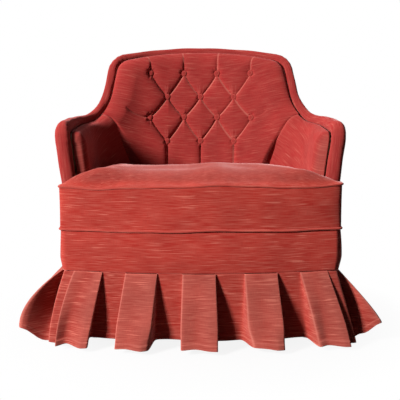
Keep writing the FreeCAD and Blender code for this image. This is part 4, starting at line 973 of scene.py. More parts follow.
def wall_sheet(name, stations, low, high, o, rows, thickness, bulge=0.0, flip=True):
    """Sheet stretched over the wall from low(s) to high(s), with a little fullness in the middle."""
    s = np.asarray(stations, float)
    v = np.linspace(0, 1, rows)
    bottom, top = low(s), high(s)
    z = bottom[:, None] + (top - bottom)[:, None] * v
    full = np.sin(np.linspace(0, math.pi, len(s)))[:, None] ** 0.5 * np.sin(math.pi * v) ** 0.5
    points = wall(s[:, None], z, o + bulge * full)
    uv = np.stack(np.broadcast_arrays(s[:, None], z), -1)
    obj = grid_piece(name, points, uv, flip=flip)
    area = float(np.sum(np.diff(s) * ((top - bottom)[1:] + (top - bottom)[:-1]) / 2))
    thicken(obj, thickness)
    return obj, area


def box_line(q, o):
    """Plan of the seat box moved outward by o, q along it from the front centre."""
    q = np.asarray(q, float)
    side, t = np.where(q < 0, -1.0, 1.0), np.abs(q)
    a = t / BOW_RADIUS
    b = (t - BOW_RUN - SIDE_STRAIGHT) / HALF_WIDTH
    front, straight = t < BOW_RUN, t < BOW_RUN + SIDE_STRAIGHT
    nx = np.where(front, np.sin(a), np.where(straight, 1.0, np.cos(b)))
    ny = np.where(front, -np.cos(a), np.where(straight, 0.0, np.sin(b)))
    x = np.where(front, BOW_RADIUS * np.sin(a), np.where(straight, HALF_WIDTH, HALF_WIDTH * np.cos(b)))
    y = np.where(front, BOW_CENTRE - BOW_RADIUS * np.cos(a),
                 np.where(straight, CORNER_Y + t - BOW_RUN, ROUND_Y + HALF_WIDTH * np.sin(b)))
    return side * (x + nx * o), y + ny * o, side * nx, ny


def apron():
    """Bowed front panel with its two short returns beside the arms."""
    back = BOW_RUN + (ROUND_Y - (RUN_FACE - QUARTER)) - CORNER_Y - FIT
    half = np.concatenate([np.linspace(0, BOW_RUN, 90)[:-1], np.linspace(BOW_RUN + 0.0015, back, 24)])
    q = np.concatenate([-half[:0:-1], half])
    v = np.linspace(0, 1, 26)
    z = SEAM_Z + (APRON_TOP - SEAM_Z) * v
    full = np.sin(math.pi * v)
    x, y, nx, ny = box_line(q, APRON_OUT)
    corner = smooth((np.abs(q) - 0.25) / 0.07)[:, None]
    swell = (0.0015 + 0.0012 * np.sin(23 * q)[:, None]) * full + 0.0045 * corner * (1 - v)
    front = 1 - smooth((np.abs(q) - BOW_RUN + 0.03) / 0.03)[:, None]
    swell -= 0.006 * smooth(1 - v / 0.35) + 0.0027 * smooth(1 - v / 0.05)
    swell -= 0.0055 * front * smooth((v - 0.92) / 0.08)
    swell -= 0.0035 * smooth((np.abs(q) - back + 0.012) / 0.012)[:, None]
    x, y = x[:, None] + nx[:, None] * swell, y[:, None] + ny[:, None] * swell
    points = np.stack(np.broadcast_arrays(x, y, z), -1)
    uv = np.stack(np.broadcast_arrays(q[:, None], z), -1)
    obj = grid_piece("apron_cover", points, uv)
    return thicken(obj, APRON_CLOTH), 2 * back


# Seat cushion
def cushion_outline(o, spacing=0.006):
    """Plan of the cushion moved outward by o."""
    return tee_outline(CUSHION_OVERHANG + o, CUSHION_HALF + o, CUSHION_NOTCH + o, spacing)


def tee_outline(overhang, half, notch, spacing):
    """T-shaped plan on the seat box, anticlockwise from the front centre."""
    wide = HALF_WIDTH + overhang
    centre = CUSHION_BACK - CUSHION_HALF
    xs = np.linspace(0, wide, int(wide / spacing))
    right = [(x, float(bow_y(x, overhang))) for x in xs]
    right += [(wide, y) for y in np.linspace(right[-1][1], notch, 14)[1:]]
    right += [(x, notch) for x in np.linspace(wide, half, 12)[1:]]
    right += [(half, y) for y in np.linspace(notch, centre, 32)[1:]]
    turns = np.linspace(0, math.pi / 2, 60)[1:]
    right += [(half * math.cos(a), centre + half * math.sin(a)) for a in turns]
    left = [(-x, y) for x, y in right[-2:0:-1]]
    line = np.array(right + left + right[:1])
    lengths = path_lengths(line)
    p = np.linspace(0, lengths[-1], int(lengths[-1] / spacing))[:-1]
    line = np.stack([np.interp(p, lengths, line[:, 0]), np.interp(p, lengths, line[:, 1])], -1)
    for _ in range(4):
        line = (np.roll(line, 1, 0) + 2 * line + np.roll(line, -1, 0)) / 4
    return line


def crown_rise(d):
    return 1 - (1 - np.clip(d, 0, 1)) ** 2.4


def cushion_crown(x, y, inside, form):
    """Height of the stuffed top over its welt."""
    right, x = x > 0, np.abs(x)
    reach = form.rollover * (1 - 0.6 * smooth((x - 0.1) / 0.15))
    front = crown_rise((y - bow_y(x, CUSHION_OVERHANG)) / reach)
    ear = 1 - np.clip(x / (HALF_WIDTH + CUSHION_OVERHANG), 0, 1) ** 5.5
    ear = ear * (1 + np.where(right, 0.38 * smooth((x - 0.19) / 0.08), 0.55 * smooth((x - 0.165) / 0.09)))
    fall = np.maximum(y - CUSHION_CREST, 0) / (CUSHION_BACK - CUSHION_CREST)
    return form.crown * front * ear * crown_rise(inside / CUSHION_EDGE) * (1 - form.fall * fall)


def to_outline(points, outline):
    """Distance of plan points from the outline, and the run along it, zero at the front centre."""
    best, run = np.full(len(points), 9.0), np.zeros(len(points))
    start = 0.0
    for a, b in zip(outline, np.roll(outline, -1, 0)):
        d = b - a
        length = math.hypot(*d)
        t = np.clip(((points - a) @ d) / length ** 2, 0, 1)
        far = np.linalg.norm(points - a - t[:, None] * d, axis=1)
        run = np.where(far < best, start + t * length, run)
        best = np.minimum(best, far)
        start += length
    return best, np.where(run > start / 2, run - start, run)


def cushion_map(obj, outline):
    """Cloth map of the cushion, plan on top and below and run on the boxing, and the mask of its darker top:
    painted shade with some flattened pile.
    """
    mesh = obj.data
    loops = np.zeros(len(mesh.loops), int)
    mesh.loops.foreach_get("vertex_index", loops)
    co = mesh_points(mesh)
    up, size = np.zeros(len(mesh.polygons) * 3), np.zeros(len(mesh.polygons), int)
    mesh.polygons.foreach_get("normal", up)
    mesh.polygons.foreach_get("loop_total", size)
    flat = np.repeat(np.abs(up.reshape(-1, 3)[:, 2]) > 0.6, size)
    _, run = to_outline(co[:, :2], outline)
    side = np.stack([run, co[:, 2]], -1)[loops]
    uv = np.where(flat[:, None], 3 * co[loops, :2] + 2.0, side)
    cloth_map(mesh, uv)
    # Mask of the seat top's darker colour: painted shade, with some flattened pile
    point_layer(mesh, "wear_and_shade", smooth((co[:, 2] - SEAT_Z - CUSHION_BOX - 0.002) / 0.014))


def seam_wave(x, y, upper):
    """Unevenness of the hand-sewn seams along the front."""
    front = smooth((0.02 - y) / 0.2)
    if upper:
        wave = 0.0022 - 0.005 * bell(x, -0.25, 0.075) + 0.0045 * bell(x, 0.05, 0.06)
        wave -= 0.0045 * bell(x, 0.24, 0.06)
        return front * (wave + 0.006 * x + 0.0006 * np.sin(60 * x))
    wave = -0.0085 + 0.0035 * bell(x, 0.05, 0.07)
    return smooth((-0.2 - y) / 0.02) * (wave + 0.003 * x + 0.0005 * np.sin(48 * x + 1))


def seat_cushion(form):
    """T-shaped cushion: a prism remeshed, crowned, filled by pressure and drawn in at its seams."""
    outline = cushion_outline(CUSHION_LIP)
    count = len(outline)
    low, high = SEAT_Z, SEAT_Z + CUSHION_BOX
    verts = [(x, y, low) for x, y in outline] + [(x, y, high) for x, y in outline]
    faces = [list(range(count))[::-1], list(range(count, 2 * count))]
    faces += [[i, (i + 1) % count, count + (i + 1) % count, count + i] for i in range(count)]
    obj = new_piece("seat_cushion", verts, faces)
    only(obj)
    obj.data.remesh_voxel_size = 0.005
    bpy.ops.object.voxel_remesh()
    co = mesh_points(obj.data)
    inside, _ = to_outline(co[:, :2], outline)
    rise = cushion_crown(co[:, 0], co[:, 1], inside, form)
    level = np.clip((co[:, 2] - low) / CUSHION_BOX, 0, 1)
    on_top = smooth((level - 0.93) / 0.07)
    co[:, 2] += rise * on_top
    waist = np.sin(math.pi * level) * 0.0012 * (1 - smooth(inside / 0.012))
    centre = np.array([0.0, CUSHION_BACK - CUSHION_HALF])
    away = co[:, :2] - centre
    away /= np.maximum(np.linalg.norm(away, axis=1), 1e-6)[:, None]
    co[:, :2] -= away * waist[:, None]
    co[:, 2] += seam_wave(co[:, 0], co[:, 1], True) * level
    co[:, 2] += seam_wave(co[:, 0], co[:, 1], False) * (1 - level) * (1 - smooth(inside / 0.006))
    co[:, 2] += drift(co, 0.17, 0.0022, 2.0) * on_top
    co[:, 1] += drift(co, 0.13, 0.0016, 3.0) * (1 - on_top) * (level > 0.1)
    set_points(obj.data, co)
    fill_with_pressure(obj, co, level, inside)
    shade_soft(obj.data)
    even = obj.modifiers.new("Even", "SMOOTH")
    even.iterations = 2
    apply_modifiers(obj)
    cushion_map(obj, outline)
    return obj


def fill_with_pressure(obj, rest, level, inside):
    """Cloth run under pressure with the seams and underside held, its movement capped."""
    most = 0.006
    seam = np.maximum(bell(level, 0.96, 0.03), smooth((0.12 - level) / 0.1))
    held = np.clip(seam * (1 - smooth(inside / 0.02)) + (level < 0.05), 0, 1)
    group = obj.vertex_groups.new(name="held")
    for index in np.nonzero(held > 0.05)[0]:
        group.add([int(index)], float(held[index]), "REPLACE")
    cloth = obj.modifiers.new("Filling", "CLOTH")
    cloth.settings.vertex_group_mass = "held"
    cloth.settings.use_pressure = True
    cloth.settings.uniform_pressure_force = 4.0
    cloth.settings.quality = 4
    cloth.settings.effector_weights.gravity = 0.0
    scene = bpy.context.scene
    for number in range(1, 21):
        scene.frame_set(number)
    only(obj)
    bpy.ops.object.modifier_apply(modifier="Filling")
    scene.frame_set(1)
    move = mesh_points(obj.data) - rest
    far = np.maximum(np.linalg.norm(move, axis=1), 1e-9)
    move *= (most * np.tanh(far / most) / far)[:, None]
    move[level < 0.04] = 0.0
    set_points(obj.data, rest + move)


def welt(name, upper, form):
    """Piping sewn round the cushion's edge."""
    outline = cushion_outline(CUSHION_LIP - 0.0002, 0.005)
    x, y = outline.T
    z = np.full(len(x), SEAT_Z + (CUSHION_BOX - WELT_OUT if upper else WELT_OUT))
    path = np.stack([x, y, z + seam_wave(x, y, upper)], -1)
    along = np.roll(path, -1, 0) - np.roll(path, 1, 0)
    along /= np.linalg.norm(along, axis=1)[:, None]
    side = np.cross(along, (0, 0, 1.0))
    side /= np.linalg.norm(side, axis=1)[:, None]
    up = np.cross(side, along)
    turn = np.linspace(0, 2 * math.pi, 13)[:-1]
    run = np.concatenate([path_lengths(path), [0]])[:len(path)]
    radius = form.welt * (1 + 0.05 * np.sin(run * 260))[:, None]
    points = tube_points(path, side, up, radius, turn)
    count, ring = points.shape[:2]
    i, j = np.meshgrid(np.arange(count), np.arange(ring), indexing="ij")
    a, b = (i + 1) % count, (j + 1) % ring
    faces = np.stack([i * ring + j, a * ring + j, a * ring + b, i * ring + b], -1).reshape(-1, 4)
    obj = new_piece(name, points.reshape(-1, 3).tolist(), faces.tolist())
    ends = np.stack([run, np.append(run[1:], run[-1] + 0.005)], -1)[:, None, [0, 1, 1, 0]]
    round_it = np.stack([j, j, j + 1, j + 1], -1) * 0.0015
    cloth_map(obj.data, np.stack(np.broadcast_arrays(ends, round_it), -1))
    # A little of the pale fold colour over the whole piping: painted highlight
    point_layer(obj.data, "fold", np.full(count * ring, 0.08))
    shade_soft(obj.data)
    face_outward(obj)
    return obj


# Pleated skirt
def skirt_flare(q):
    """How far the hem stands out: less at the front, most beside the front corners."""
    t = np.abs(q) - BOW_RUN
    side = 0.110 + 0.024 * smooth(t / 0.16) - 0.072 * smooth((t - 0.1) / (HALF_ROUND - BOW_RUN - 0.1))
    return np.where(t <= 0, 0.050, side)


def skirt_plan(q, proud, hem):
    """Plan points of the skirt's folds at the seam or the hem."""
    q = np.where(q > HALF_ROUND, q - 2 * HALF_ROUND, q)
    if hem:
        o = SKIRT_REST + skirt_flare(q) - RECESS * (1 - proud)
    else:
        o = SKIRT_REST + SEAM_FOLD * proud
    x, y, _, _ = box_line(q, o)
    if hem:
        x = x + np.where(np.abs(q) < BOW_RUN, x * 0.11, 0.0)
    return np.stack([x, y], -1)


# Front corners of the skirt, outward and back from the seat box's corner: at the seam, at the left hem
# and at the right hem. FRONT_END holds the fold and the folded end of the front length, SIDE_END the
# hollow and the flaring edge of the side length
FRONT_END = (((SKIRT_REST, 0.006), (SKIRT_REST, -SKIRT_REST)),
             ((0.036, -0.0155), (0.0405, -0.035)), ((0.0355, 0.005), (0.050, -0.032)))
SIDE_END = (((SKIRT_REST, 0.014), (SKIRT_REST + SEAM_FOLD, 0.016)),
            ((0.049, -0.009), (0.108, -0.047)), ((0.0685, 0.003), (0.1175, -0.010)))


def corner_points(end, side, hem):
    """Plan points of one length's end at a front corner."""
    points = end[0 if not hem else 1 if side < 0 else 2]
    return np.array([(side * (HALF_WIDTH + x), CORNER_Y + y) for x, y in points])


# Front pleats: centre and width at the seam and at the hem, curl of the lower corners, how far the
# flanks tuck under, place of a dent at the seam and hem, and how deep it is as a share of the pleat
FRONT_PLEATS = {
    -2: (-0.268, 0.072, -0.264, 0.072, 0.000, 0.006, 0.004, 0.016, 0.47, 0.24, 0.42),
    -1: (-0.139, 0.076, -0.140, 0.077, 0.003, 0.010, 0.010, -0.004, 0.40, 0.35, 0.12),
    0: (-0.004, 0.078, -0.002, 0.082, 0.002, 0.003, 0.008, 0.014, 0.45, 0.40, 0.16),
    1: (0.141, 0.079, 0.136, 0.078, 0.022, 0.003, -0.009, 0.014, 0.40, 0.50, 0.14),
    2: (0.269, 0.069, 0.278, 0.071, 0.004, 0.002, -0.013, 0.006, 0.45, 0.30, 0.18),
}


def pleat_shape(k, form):
    """A front pleat as listed, or one of the plainer ones round the sides and back."""
    centre, width = k * PLEAT_PITCH, form.pleat_face
    return FRONT_PLEATS.get(k) or (centre, width, centre + 0.004 * math.sin(3.1 * k), width,
                                   0.004, 0.004, 0.012, 0.012, 0.4, 0.45, 0.06)


def fold_line(pleats, form):
    """Corners of the folded cloth in order: run at seam and hem, proudness, share of painted highlight and wear
    at a pleat edge, curl.
    """
    rows = []
    for k in pleats:
        c0, w0, c1, w1, curl_left, curl_right, tuck_left, tuck_right, dent0, dent1, dent = pleat_shape(k, form)
        l0, r0, l1, r1 = c0 - w0 / 2, c0 + w0 / 2, c1 - w1 / 2, c1 + w1 / 2
        between = (k - 0.5) * PLEAT_PITCH
        rows += [(between, between, 0, 0, 0), (l0 + 0.001, l1 + tuck_left, 0, 0, 0),
                 (l0, l1, 1, 1, curl_left), (l0 + w0 * dent0, l1 + w1 * dent1, 1 - dent, 0, 0),
                 (r0 - w0 * 0.2, r1 - w1 * 0.25, 1, 0, 0), (r0, r1, 1, 1, -curl_right),
                 (r0 - 0.001, r1 - tuck_right, 0, 0, 0)]
    last = (pleats[-1] + 0.5) * PLEAT_PITCH
    rows.append((last, last, 0, 0, 0))
    return np.array(rows)


def skirt_panel(name, pleats, first, last, form):
    """One length of box pleats as a sheet; first and last say which ends turn a front corner."""
    rows = fold_line(pleats, form)
    if first and last:
        rows[[1, -2], 2] = 0.65
    top, hem = (skirt_plan(rows[:, low], rows[:, 2], bool(low)) for low in (0, 1))
    if first and last:
        turn = np.array([(0, 0, 0, 0, 0), (0, 0, 0.6, 0.6, 0)])
        rows = np.concatenate([turn, rows[1:-1], turn[::-1]])
        top, hem = (np.concatenate([corner_points(FRONT_END, first, low), line[1:-1],
                                    corner_points(FRONT_END, last, low)[::-1]])
                    for line, low in ((top, False), (hem, True)))
    spread = np.where(hem[:, 0] < -0.3, 1.6, 1.12)
    raised, sunk = np.zeros(len(rows)), np.zeros(len(rows))
    if first and last:
        sunk[[0, -1]], raised[[0, -1]] = 0.045, -0.008
    elif first or last:
        side = first or last
        fold, hollow, edge = (0, 1, 2) if first else (-1, -2, -3)
        for line, low in ((top, False), (hem, True)):
            line[fold] = corner_points(FRONT_END, side, low)[0]
            line[[hollow, edge]] = corner_points(SIDE_END, side, low)
        raised[fold] = -0.008
        raised[edge], raised[hollow] = (0.038, -0.008) if side < 0 else (0.040, 0.004)
        for row, share in ((3, 0.8), (4, 0.4)):
            raised[row if first else -1 - row] = share * raised[edge]
        spread[edge] = 2.1 if side < 0 else 1.15
        sunk[fold], sunk[hollow] = 0.045, 0.030
    proud, mark, curl = rows[:, 2], rows[:, 3], rows[:, 4]
    v = np.concatenate([np.linspace(0, 0.9, 34), np.linspace(HEM_BAND, 1, 9)])
    reach = 1 - (1 - v[:, None]) ** spread
    corners = top + (hem - top) * reach[..., None]
    corners[..., 1] += sunk * np.sin(math.pi * v[:, None] ** 0.8)
    inward = -(hem - top) / np.maximum(np.linalg.norm(hem - top, axis=1), 1e-6)[:, None]
    corners = corners + inward * (np.abs(curl) * smooth((v[:, None] - 0.55) / 0.45) ** 2)[..., None]
    corners[..., 0] += 0.75 * curl * smooth((v[:, None] - 0.66) / 0.34)
    lift = 0.008 * (1 - proud) + raised
    corners_z = HEAD_Z - v[:, None] * (HEAD_Z - HEM_Z - lift)
    steps = np.array([0.0, 0.14, 0.3, 0.5, 0.7, 0.86])
    places = np.concatenate([a + steps for a in range(len(rows) - 1)] + [[len(rows) - 1]])
    a = np.minimum(places.astype(int), len(rows) - 2)
    t = places - a
    plan_points = corners[:, a] + (corners[:, a + 1] - corners[:, a]) * t[:, None]
    plan_points = plan_points.transpose(1, 0, 2)
    for _ in range(2):
        plan_points[1:-1] = (plan_points[:-2] + 2 * plan_points[1:-1] + plan_points[2:]) / 4
    z = (corners_z[:, a] + (corners_z[:, a + 1] - corners_z[:, a]) * smooth(t)).T
    points = np.concatenate([plan_points, z[..., None]], -1)
    x, y = points[..., 0], points[..., 1]
    points[..., 1] -= (0.0024 * np.sin(21 * x + 17 * y + 5 * v) + 0.0012 * np.sin(63 * x - 9 * v)) * v ** 2
    points[..., 2] += 0.0015 * np.sin(37 * x + 29 * y) * v ** 3
    points[..., 1] -= 0.0020 * smooth((v - HEM_BAND) / 0.02)
    hem_run, top_run = path_lengths(points[:, -1]), path_lengths(points[:, 0])
    uv = np.stack(np.broadcast_arrays(hem_run[:, None], z - SEAM_Z), -1)
    # Pale marks: a painted highlight with some wear along the pleat edges, wear of the pile at the hem's edge,
    # and the hem's stitch line
    near = np.maximum(mark[a] * (1 - t / 0.14), mark[a + 1] * (1 - (1 - t) / 0.14))
    highlight_and_wear = 0.5 * np.clip(near, 0, 1)[:, None] * np.ones(len(v))
    highlight_and_wear = np.maximum(highlight_and_wear, 0.3 * smooth((v - 0.975) / 0.025))
    highlight_and_wear = np.maximum(highlight_and_wear, 0.45 * bell(v, 0.929, 0.006))
    # Paler colour on proud pleat faces, darker in the recesses: painted light and shade, with some wear on the
    # faces
    wear_and_shade = np.broadcast_to((proud[a] + (proud[a + 1] - proud[a]) * t)[:, None], highlight_and_wear.shape)
    obj = grid_piece(name, points, uv, flip=True, layers={"fold": highlight_and_wear, "wear_and_shade": np.clip(wear_and_shade, 0, 1) ** 3})
    width = float((hem_run[-1] + top_run[-1]) / 2)
    thicken(obj, form.cloth)
    return obj, (width, SEAM_Z - HEM_Z)


# Inner cloth and padding
def level_sheet(name, outline, z, thickness):
    """Flat cloth cut to a plan outline, thickened upwards."""
    obj = new_piece(name, [(x, y, z) for x, y in outline], [list(range(len(outline)))])
    cloth_map(obj.data, outline)
    area = obj.data.polygons[0].area
    thicken(obj, thickness, 1.0)
    return obj, area


def box_outline(o, count=40):
    """Whole plan of the seat box moved by o, anticlockwise."""
    q = np.concatenate([np.linspace(-HALF_ROUND, -BOW_RUN - 1e-6, count)[:-1],
                        np.linspace(-BOW_RUN, BOW_RUN, count),
                        np.linspace(BOW_RUN + 1e-6, HALF_ROUND, count)[1:-1]])
    x, y, _, _ = box_line(q, o)
    return np.stack([x, y], -1)


class CHAIR_OT_wood_and_steel(Operator):
    """Give the beech frame, legs, bolts and glides their finishes"""

    bl_idname = "chair.wood_and_steel"
    bl_label = "Wood and steel"

    def execute(self, context):
        group = wood_grain_group()
        beech, _ = new_material("Oiled beech", group, object_vector, {
            "Light": (0.58, 0.36, 0.19, 1), "Dark": (0.36, 0.2, 0.1, 1)}, 0.25, 0.0004)
        steel = bpy.data.materials.new("Zinc-plated steel")
        steel.use_nodes = True
        tree = steel.node_tree
        shader = tree.nodes["Principled BSDF"]
        shader.inputs["Metallic"].default_value = 1.0
        scuffs = noise_of(tree, object_vector(tree, (-1100, 0)), (300, 300, 40), (-900, 0), 3.0)
        color = mix_of(tree, scuffs, (0.5, 0.5, 0.52, 1), (0.68, 0.68, 0.7, 1), (-300, 200))
        tree.links.new(color, shader.inputs["Base Color"])
        tree.links.new(remap(tree, scuffs, 0.3, 0.7, 0.28, 0.5, (-300, -100)), shader.inputs["Roughness"])
        slots = {entry["node"]: entry["material_slot"] for entry in frame["record"]["subparts"]}
        for name, obj in frame["nodes"].items():
            if slots[name] in ("beech", "steel"):
                obj.data.materials.clear()
                obj.data.materials.append(beech if slots[name] == "beech" else steel)
        return {"FINISHED"}


class CHAIR_OT_inner_cloth(Operator):
    """Lay the webbing, hessian, deck padding, deck cloth and dust cover"""

    bl_idname = "chair.inner_cloth"
    bl_label = "Inner cloth"

    def execute(self, context):
        jute = woven("Jute hessian", cloth_vector, 620.0, (0.42, 0.30, 0.16), (0.2, 0.13, 0.06))
        girth = woven("Jute webbing", cloth_vector, 420.0, (0.46, 0.36, 0.22), (0.24, 0.17, 0.09))
        cambric = woven("Black cambric", cloth_vector, 900.0, (0.03, 0.03, 0.03), (0.008, 0.008, 0.008))
        platform = woven("Platform cloth", cloth_vector, 1100.0, (0.42, 0.06, 0.05), (0.3, 0.035, 0.03))
        felt = woven("Cotton felt", object_vector, 260.0, (0.72, 0.68, 0.58), (0.6, 0.55, 0.45))
        self.seat_cloth(jute, girth, cambric, platform, felt)
        self.wall_cloth(jute, girth)
        return {"FINISHED"}

    def seat_cloth(self, jute, girth, cambric, platform, felt):
        seat = box_outline(-SEAT_CLOTH_INSET)
        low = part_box("seat_hessian")[0].z
        hessian, area = level_sheet("hessian_over_seat", seat, low, HESSIAN)
        dress(hessian, "chair", "hessian", jute, "seat_hessian")
        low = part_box("dust_cover")[0].z
        dust, area = level_sheet("dust_cloth", seat, low, 0.001)
        for leg in ("front_left_leg", "front_right_leg", "rear_left_leg", "rear_right_leg"):
            self.cut_round(dust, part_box(leg), low)
        dress(dust, "chair", "dust_cloth", cambric, "dust_cover")
        deck = tee_outline(-FIT, CUSHION_HALF - 0.001, ARM_Y + 0.004, 0.002)
        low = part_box("deck_cover")[0].z
        cover, area = level_sheet("deck_cloth", deck, low, 0.0015)
        dress(cover, "chair", "deck_cloth", platform, "deck_cover")
        low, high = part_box("seat_deck_pad")
        pad, _ = level_sheet("deck_felt", deck, low.z, high.z - low.z)
        edge = pad.modifiers.new("Soft edge", "BEVEL")
        edge.width, edge.segments, edge.limit_method = 0.006, 3, "ANGLE"
        apply_modifiers(pad)
        dress(pad, "chair", "padding", felt, "seat_deck_pad")
        self.seat_webbing(girth)

    def cut_round(self, sheet, box, z):
        """Square hole in the dust cloth for a leg."""
        lo, hi = box
        bpy.ops.object.select_all(action="DESELECT")
        x, y = (lo.x + hi.x) / 2, (lo.y + hi.y) / 2
        if y > 0:
            near = min(abs(lo.x), abs(hi.x))
            x, y = math.copysign(near + LEG_HALF, x), lo.y + LEG_HALF
        bpy.ops.mesh.primitive_cube_add(size=LEG_HOLE, location=(x, y, z))
        tool = bpy.context.object
        cut = sheet.modifiers.new("Leg hole", "BOOLEAN")
        cut.object, cut.operation = tool, "DIFFERENCE"
        apply_modifiers(sheet)
        bpy.data.objects.remove(tool)

    def seat_webbing(self, girth):
        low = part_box("seat_webbing")[0].z
        xs = [(i - 2) * WEB_PITCH for i in range(5)]
        ys = [ROUND_Y - WEB_FIRST + i * WEB_PITCH for i in range(4)]
        rail = HALF_WIDTH - WEB_INSET
        straps = []
        for i, x in enumerate(xs):
            far = abs(x) + WEB_WIDTH / 2
            ends = float(bow_y(far, -WEB_INSET)), ROUND_Y + math.sqrt(rail ** 2 - far ** 2)
            straps.append(self.strap(ends, ys, i, x, False, low))
        for j, y in enumerate(ys):
            back = max(y + WEB_WIDTH / 2 - ROUND_Y, 0)
            end = math.sqrt(rail ** 2 - back ** 2)
            straps.append(self.strap((-end, end), xs, j + 1, y, True, low))
        self.join_straps(straps, "webbing_under_seat", girth, "seat_webbing", "front_seat_rail")

    def strap(self, ends, crossings, first, across, along_x, low):
        """One strap woven over and under the ones it crosses."""
        u, level = [ends[0]], [low]
        for i, crossing in enumerate(crossings):
            z = low + (WEB_THICK + FIT if (i + first) % 2 else 0.0)
            u += [crossing - WEB_WIDTH / 2 - 0.004, crossing + WEB_WIDTH / 2 + 0.004]
            level += [z, z]
        u, level = np.array(u + [ends[1]]), np.array(level + [low])
        over = across + np.linspace(-WEB_WIDTH / 2, WEB_WIDTH / 2, 5)
        a, b, z = np.broadcast_arrays(u[:, None], over, level[:, None])
        points = np.stack([a, b, z] if along_x else [b, a, z], -1)
        obj = grid_piece("strap", points, np.stack([a, b], -1), flip=not along_x)
        return thicken(obj, WEB_THICK, 1.0)

    def join_straps(self, straps, name, material, node, rail):
        obj = join_pieces(straps, name)
        dress(obj, "chair", "webbing", material, node)

    def wall_cloth(self, jute, girth):
        def top(s):
            return frame_top(s) - 0.003

        post = HALF_WIDTH * math.radians(36.0)
        o = -FRAME_THICK - FIT
        straps = []
        for place in (-1, 0, 1):
            s = place * 1.25 * BUTTON_PITCH + np.linspace(-WEB_WIDTH / 2, WEB_WIDTH / 2, 5)
            strap, _ = wall_sheet("strap", s, level_at(RAIL_TOP + 0.015), top,
                                  o - WEB_THICK, 24, WEB_THICK, flip=False)
            straps.append(strap)
        self.join_straps(straps, "webbing_in_back", girth, "back_webbing", "back_top_rail")
        back, area = wall_sheet("hessian_in_back", np.linspace(-post, post, 50), level_at(PAD_Z + 0.001), top,
                                o - WEB_THICK - FIT - HESSIAN, 30, HESSIAN, flip=False)
        dress(back, "chair", "hessian", jute, "back_hessian")
        for name, s in arm_runs(SEAM_RUN_HIGH + 0.002, 40):
            arm, area = wall_sheet("hessian_in_%s_arm" % name, s, level_at(PAD_Z + 0.001), top,
                                   o - HESSIAN, 24, HESSIAN, flip=False)
            dress(arm, "chair", "hessian", jute, "%s_arm_hessian" % name)


class CHAIR_OT_tufted_back(Operator):
    """Pad and button the inside back"""

    bl_idname = "chair.tufted_back"
    bl_label = "Tufted back"

    def execute(self, context):
        form = context.scene.chair_form
        back = tufted_back(form)
        dress(back, "chair", "velvet", shaded_wall_velvet(), "inside_back")
        buttons = covered_buttons(form)
        dress(buttons, "chair", "velvet", shaded_wall_velvet(), "back_buttons")
        return {"FINISHED"}


class CHAIR_OT_inside_arms(Operator):
    """Pad the two inside arms"""

    bl_idname = "chair.inside_arms"
    bl_label = "Inside arms"

    def execute(self, context):
        for side, node in ((1, "right_inside_arm"), (-1, "left_inside_arm")):
            arm = inside_arm(side)
            dress(arm, "chair", "velvet", shaded_wall_velvet(), node)
        return {"FINISHED"}


class CHAIR_OT_edge_roll(Operator):
    """Cover the padded roll round the arms and back"""

    bl_idname = "chair.edge_roll"
    bl_label = "Edge roll"

    def execute(self, context):
        roll = edge_roll()
        dress(roll, "chair", "velvet", shaded_wall_velvet(), "edge_roll")
        return {"FINISHED"}


class CHAIR_OT_outside_covers(Operator):
    """Stretch the outside back, outside arms and front apron"""

    bl_idname = "chair.outside_covers"
    bl_label = "Outside covers"

    def execute(self, context):
        seam = FOOT_RUN + 0.022
        bottom = level_at(SEAM_Z)
        back, area = wall_sheet("outside_back_cover", np.linspace(-seam, seam, 120), bottom, frame_top,
                                COVER_OUT, 60, COVER_CLOTH, 0.004)
        dress(back, "chair", "velvet", shaded_wall_velvet(), "outside_back")
        for name, s in arm_runs(seam + FIT, 60):
            arm, area = wall_sheet("%s_outside_arm_cover" % name, s, bottom, frame_top,
                                   COVER_OUT, 50, COVER_CLOTH, 0.003)
            dress(arm, "chair", "velvet", shaded_wall_velvet(), "%s_outside_arm" % name)
        front, width = apron()
        dress(front, "chair", "velvet", seat_velvet(), "front_apron")
        return {"FINISHED"}


class CHAIR_OT_seat_cushion(Operator):
    """Make the loose T-shaped cushion with its two welts"""

    bl_idname = "chair.seat_cushion"
    bl_label = "Seat cushion"

    def execute(self, context):
        form = context.scene.chair_form
        cushion = seat_cushion(form)
        dress(cushion, "cushion", "velvet", seat_velvet(), "cushion_cover", "cushion_filling")
        for upper, node in ((True, "cushion_top_welt"), (False, "cushion_lower_welt")):
            piping = welt("top_piping" if upper else "lower_piping", upper, form)
            dress(piping, "cushion", "velvet", seat_velvet(), node)
        return {"FINISHED"}


class CHAIR_OT_pleated_skirt(Operator):
    """Hang the four lengths of box-pleated skirt"""

    bl_idname = "chair.pleated_skirt"
    bl_label = "Pleated skirt"

    def execute(self, context):
        form = context.scene.chair_form
        right = [3, 4, 5]
        lengths = (("front_skirt", list(range(-2, 3)), -1, 1, "front_seat_rail"),
                   ("right_skirt", right, 1, 0, "right_seat_rail"),
                   ("left_skirt", [-k for k in right[::-1]], 0, -1, "left_seat_rail"),
                   ("back_skirt", [6, 7, 8, 9], 0, 0, "back_seat_rail"))
        for node, pleats, first, last, rail in lengths:
            cloth, flat = skirt_panel(node + "_cloth", pleats, first, last, form)
            dress(cloth, "chair", "velvet", skirt_velvet(), node)
        return {"FINISHED"}


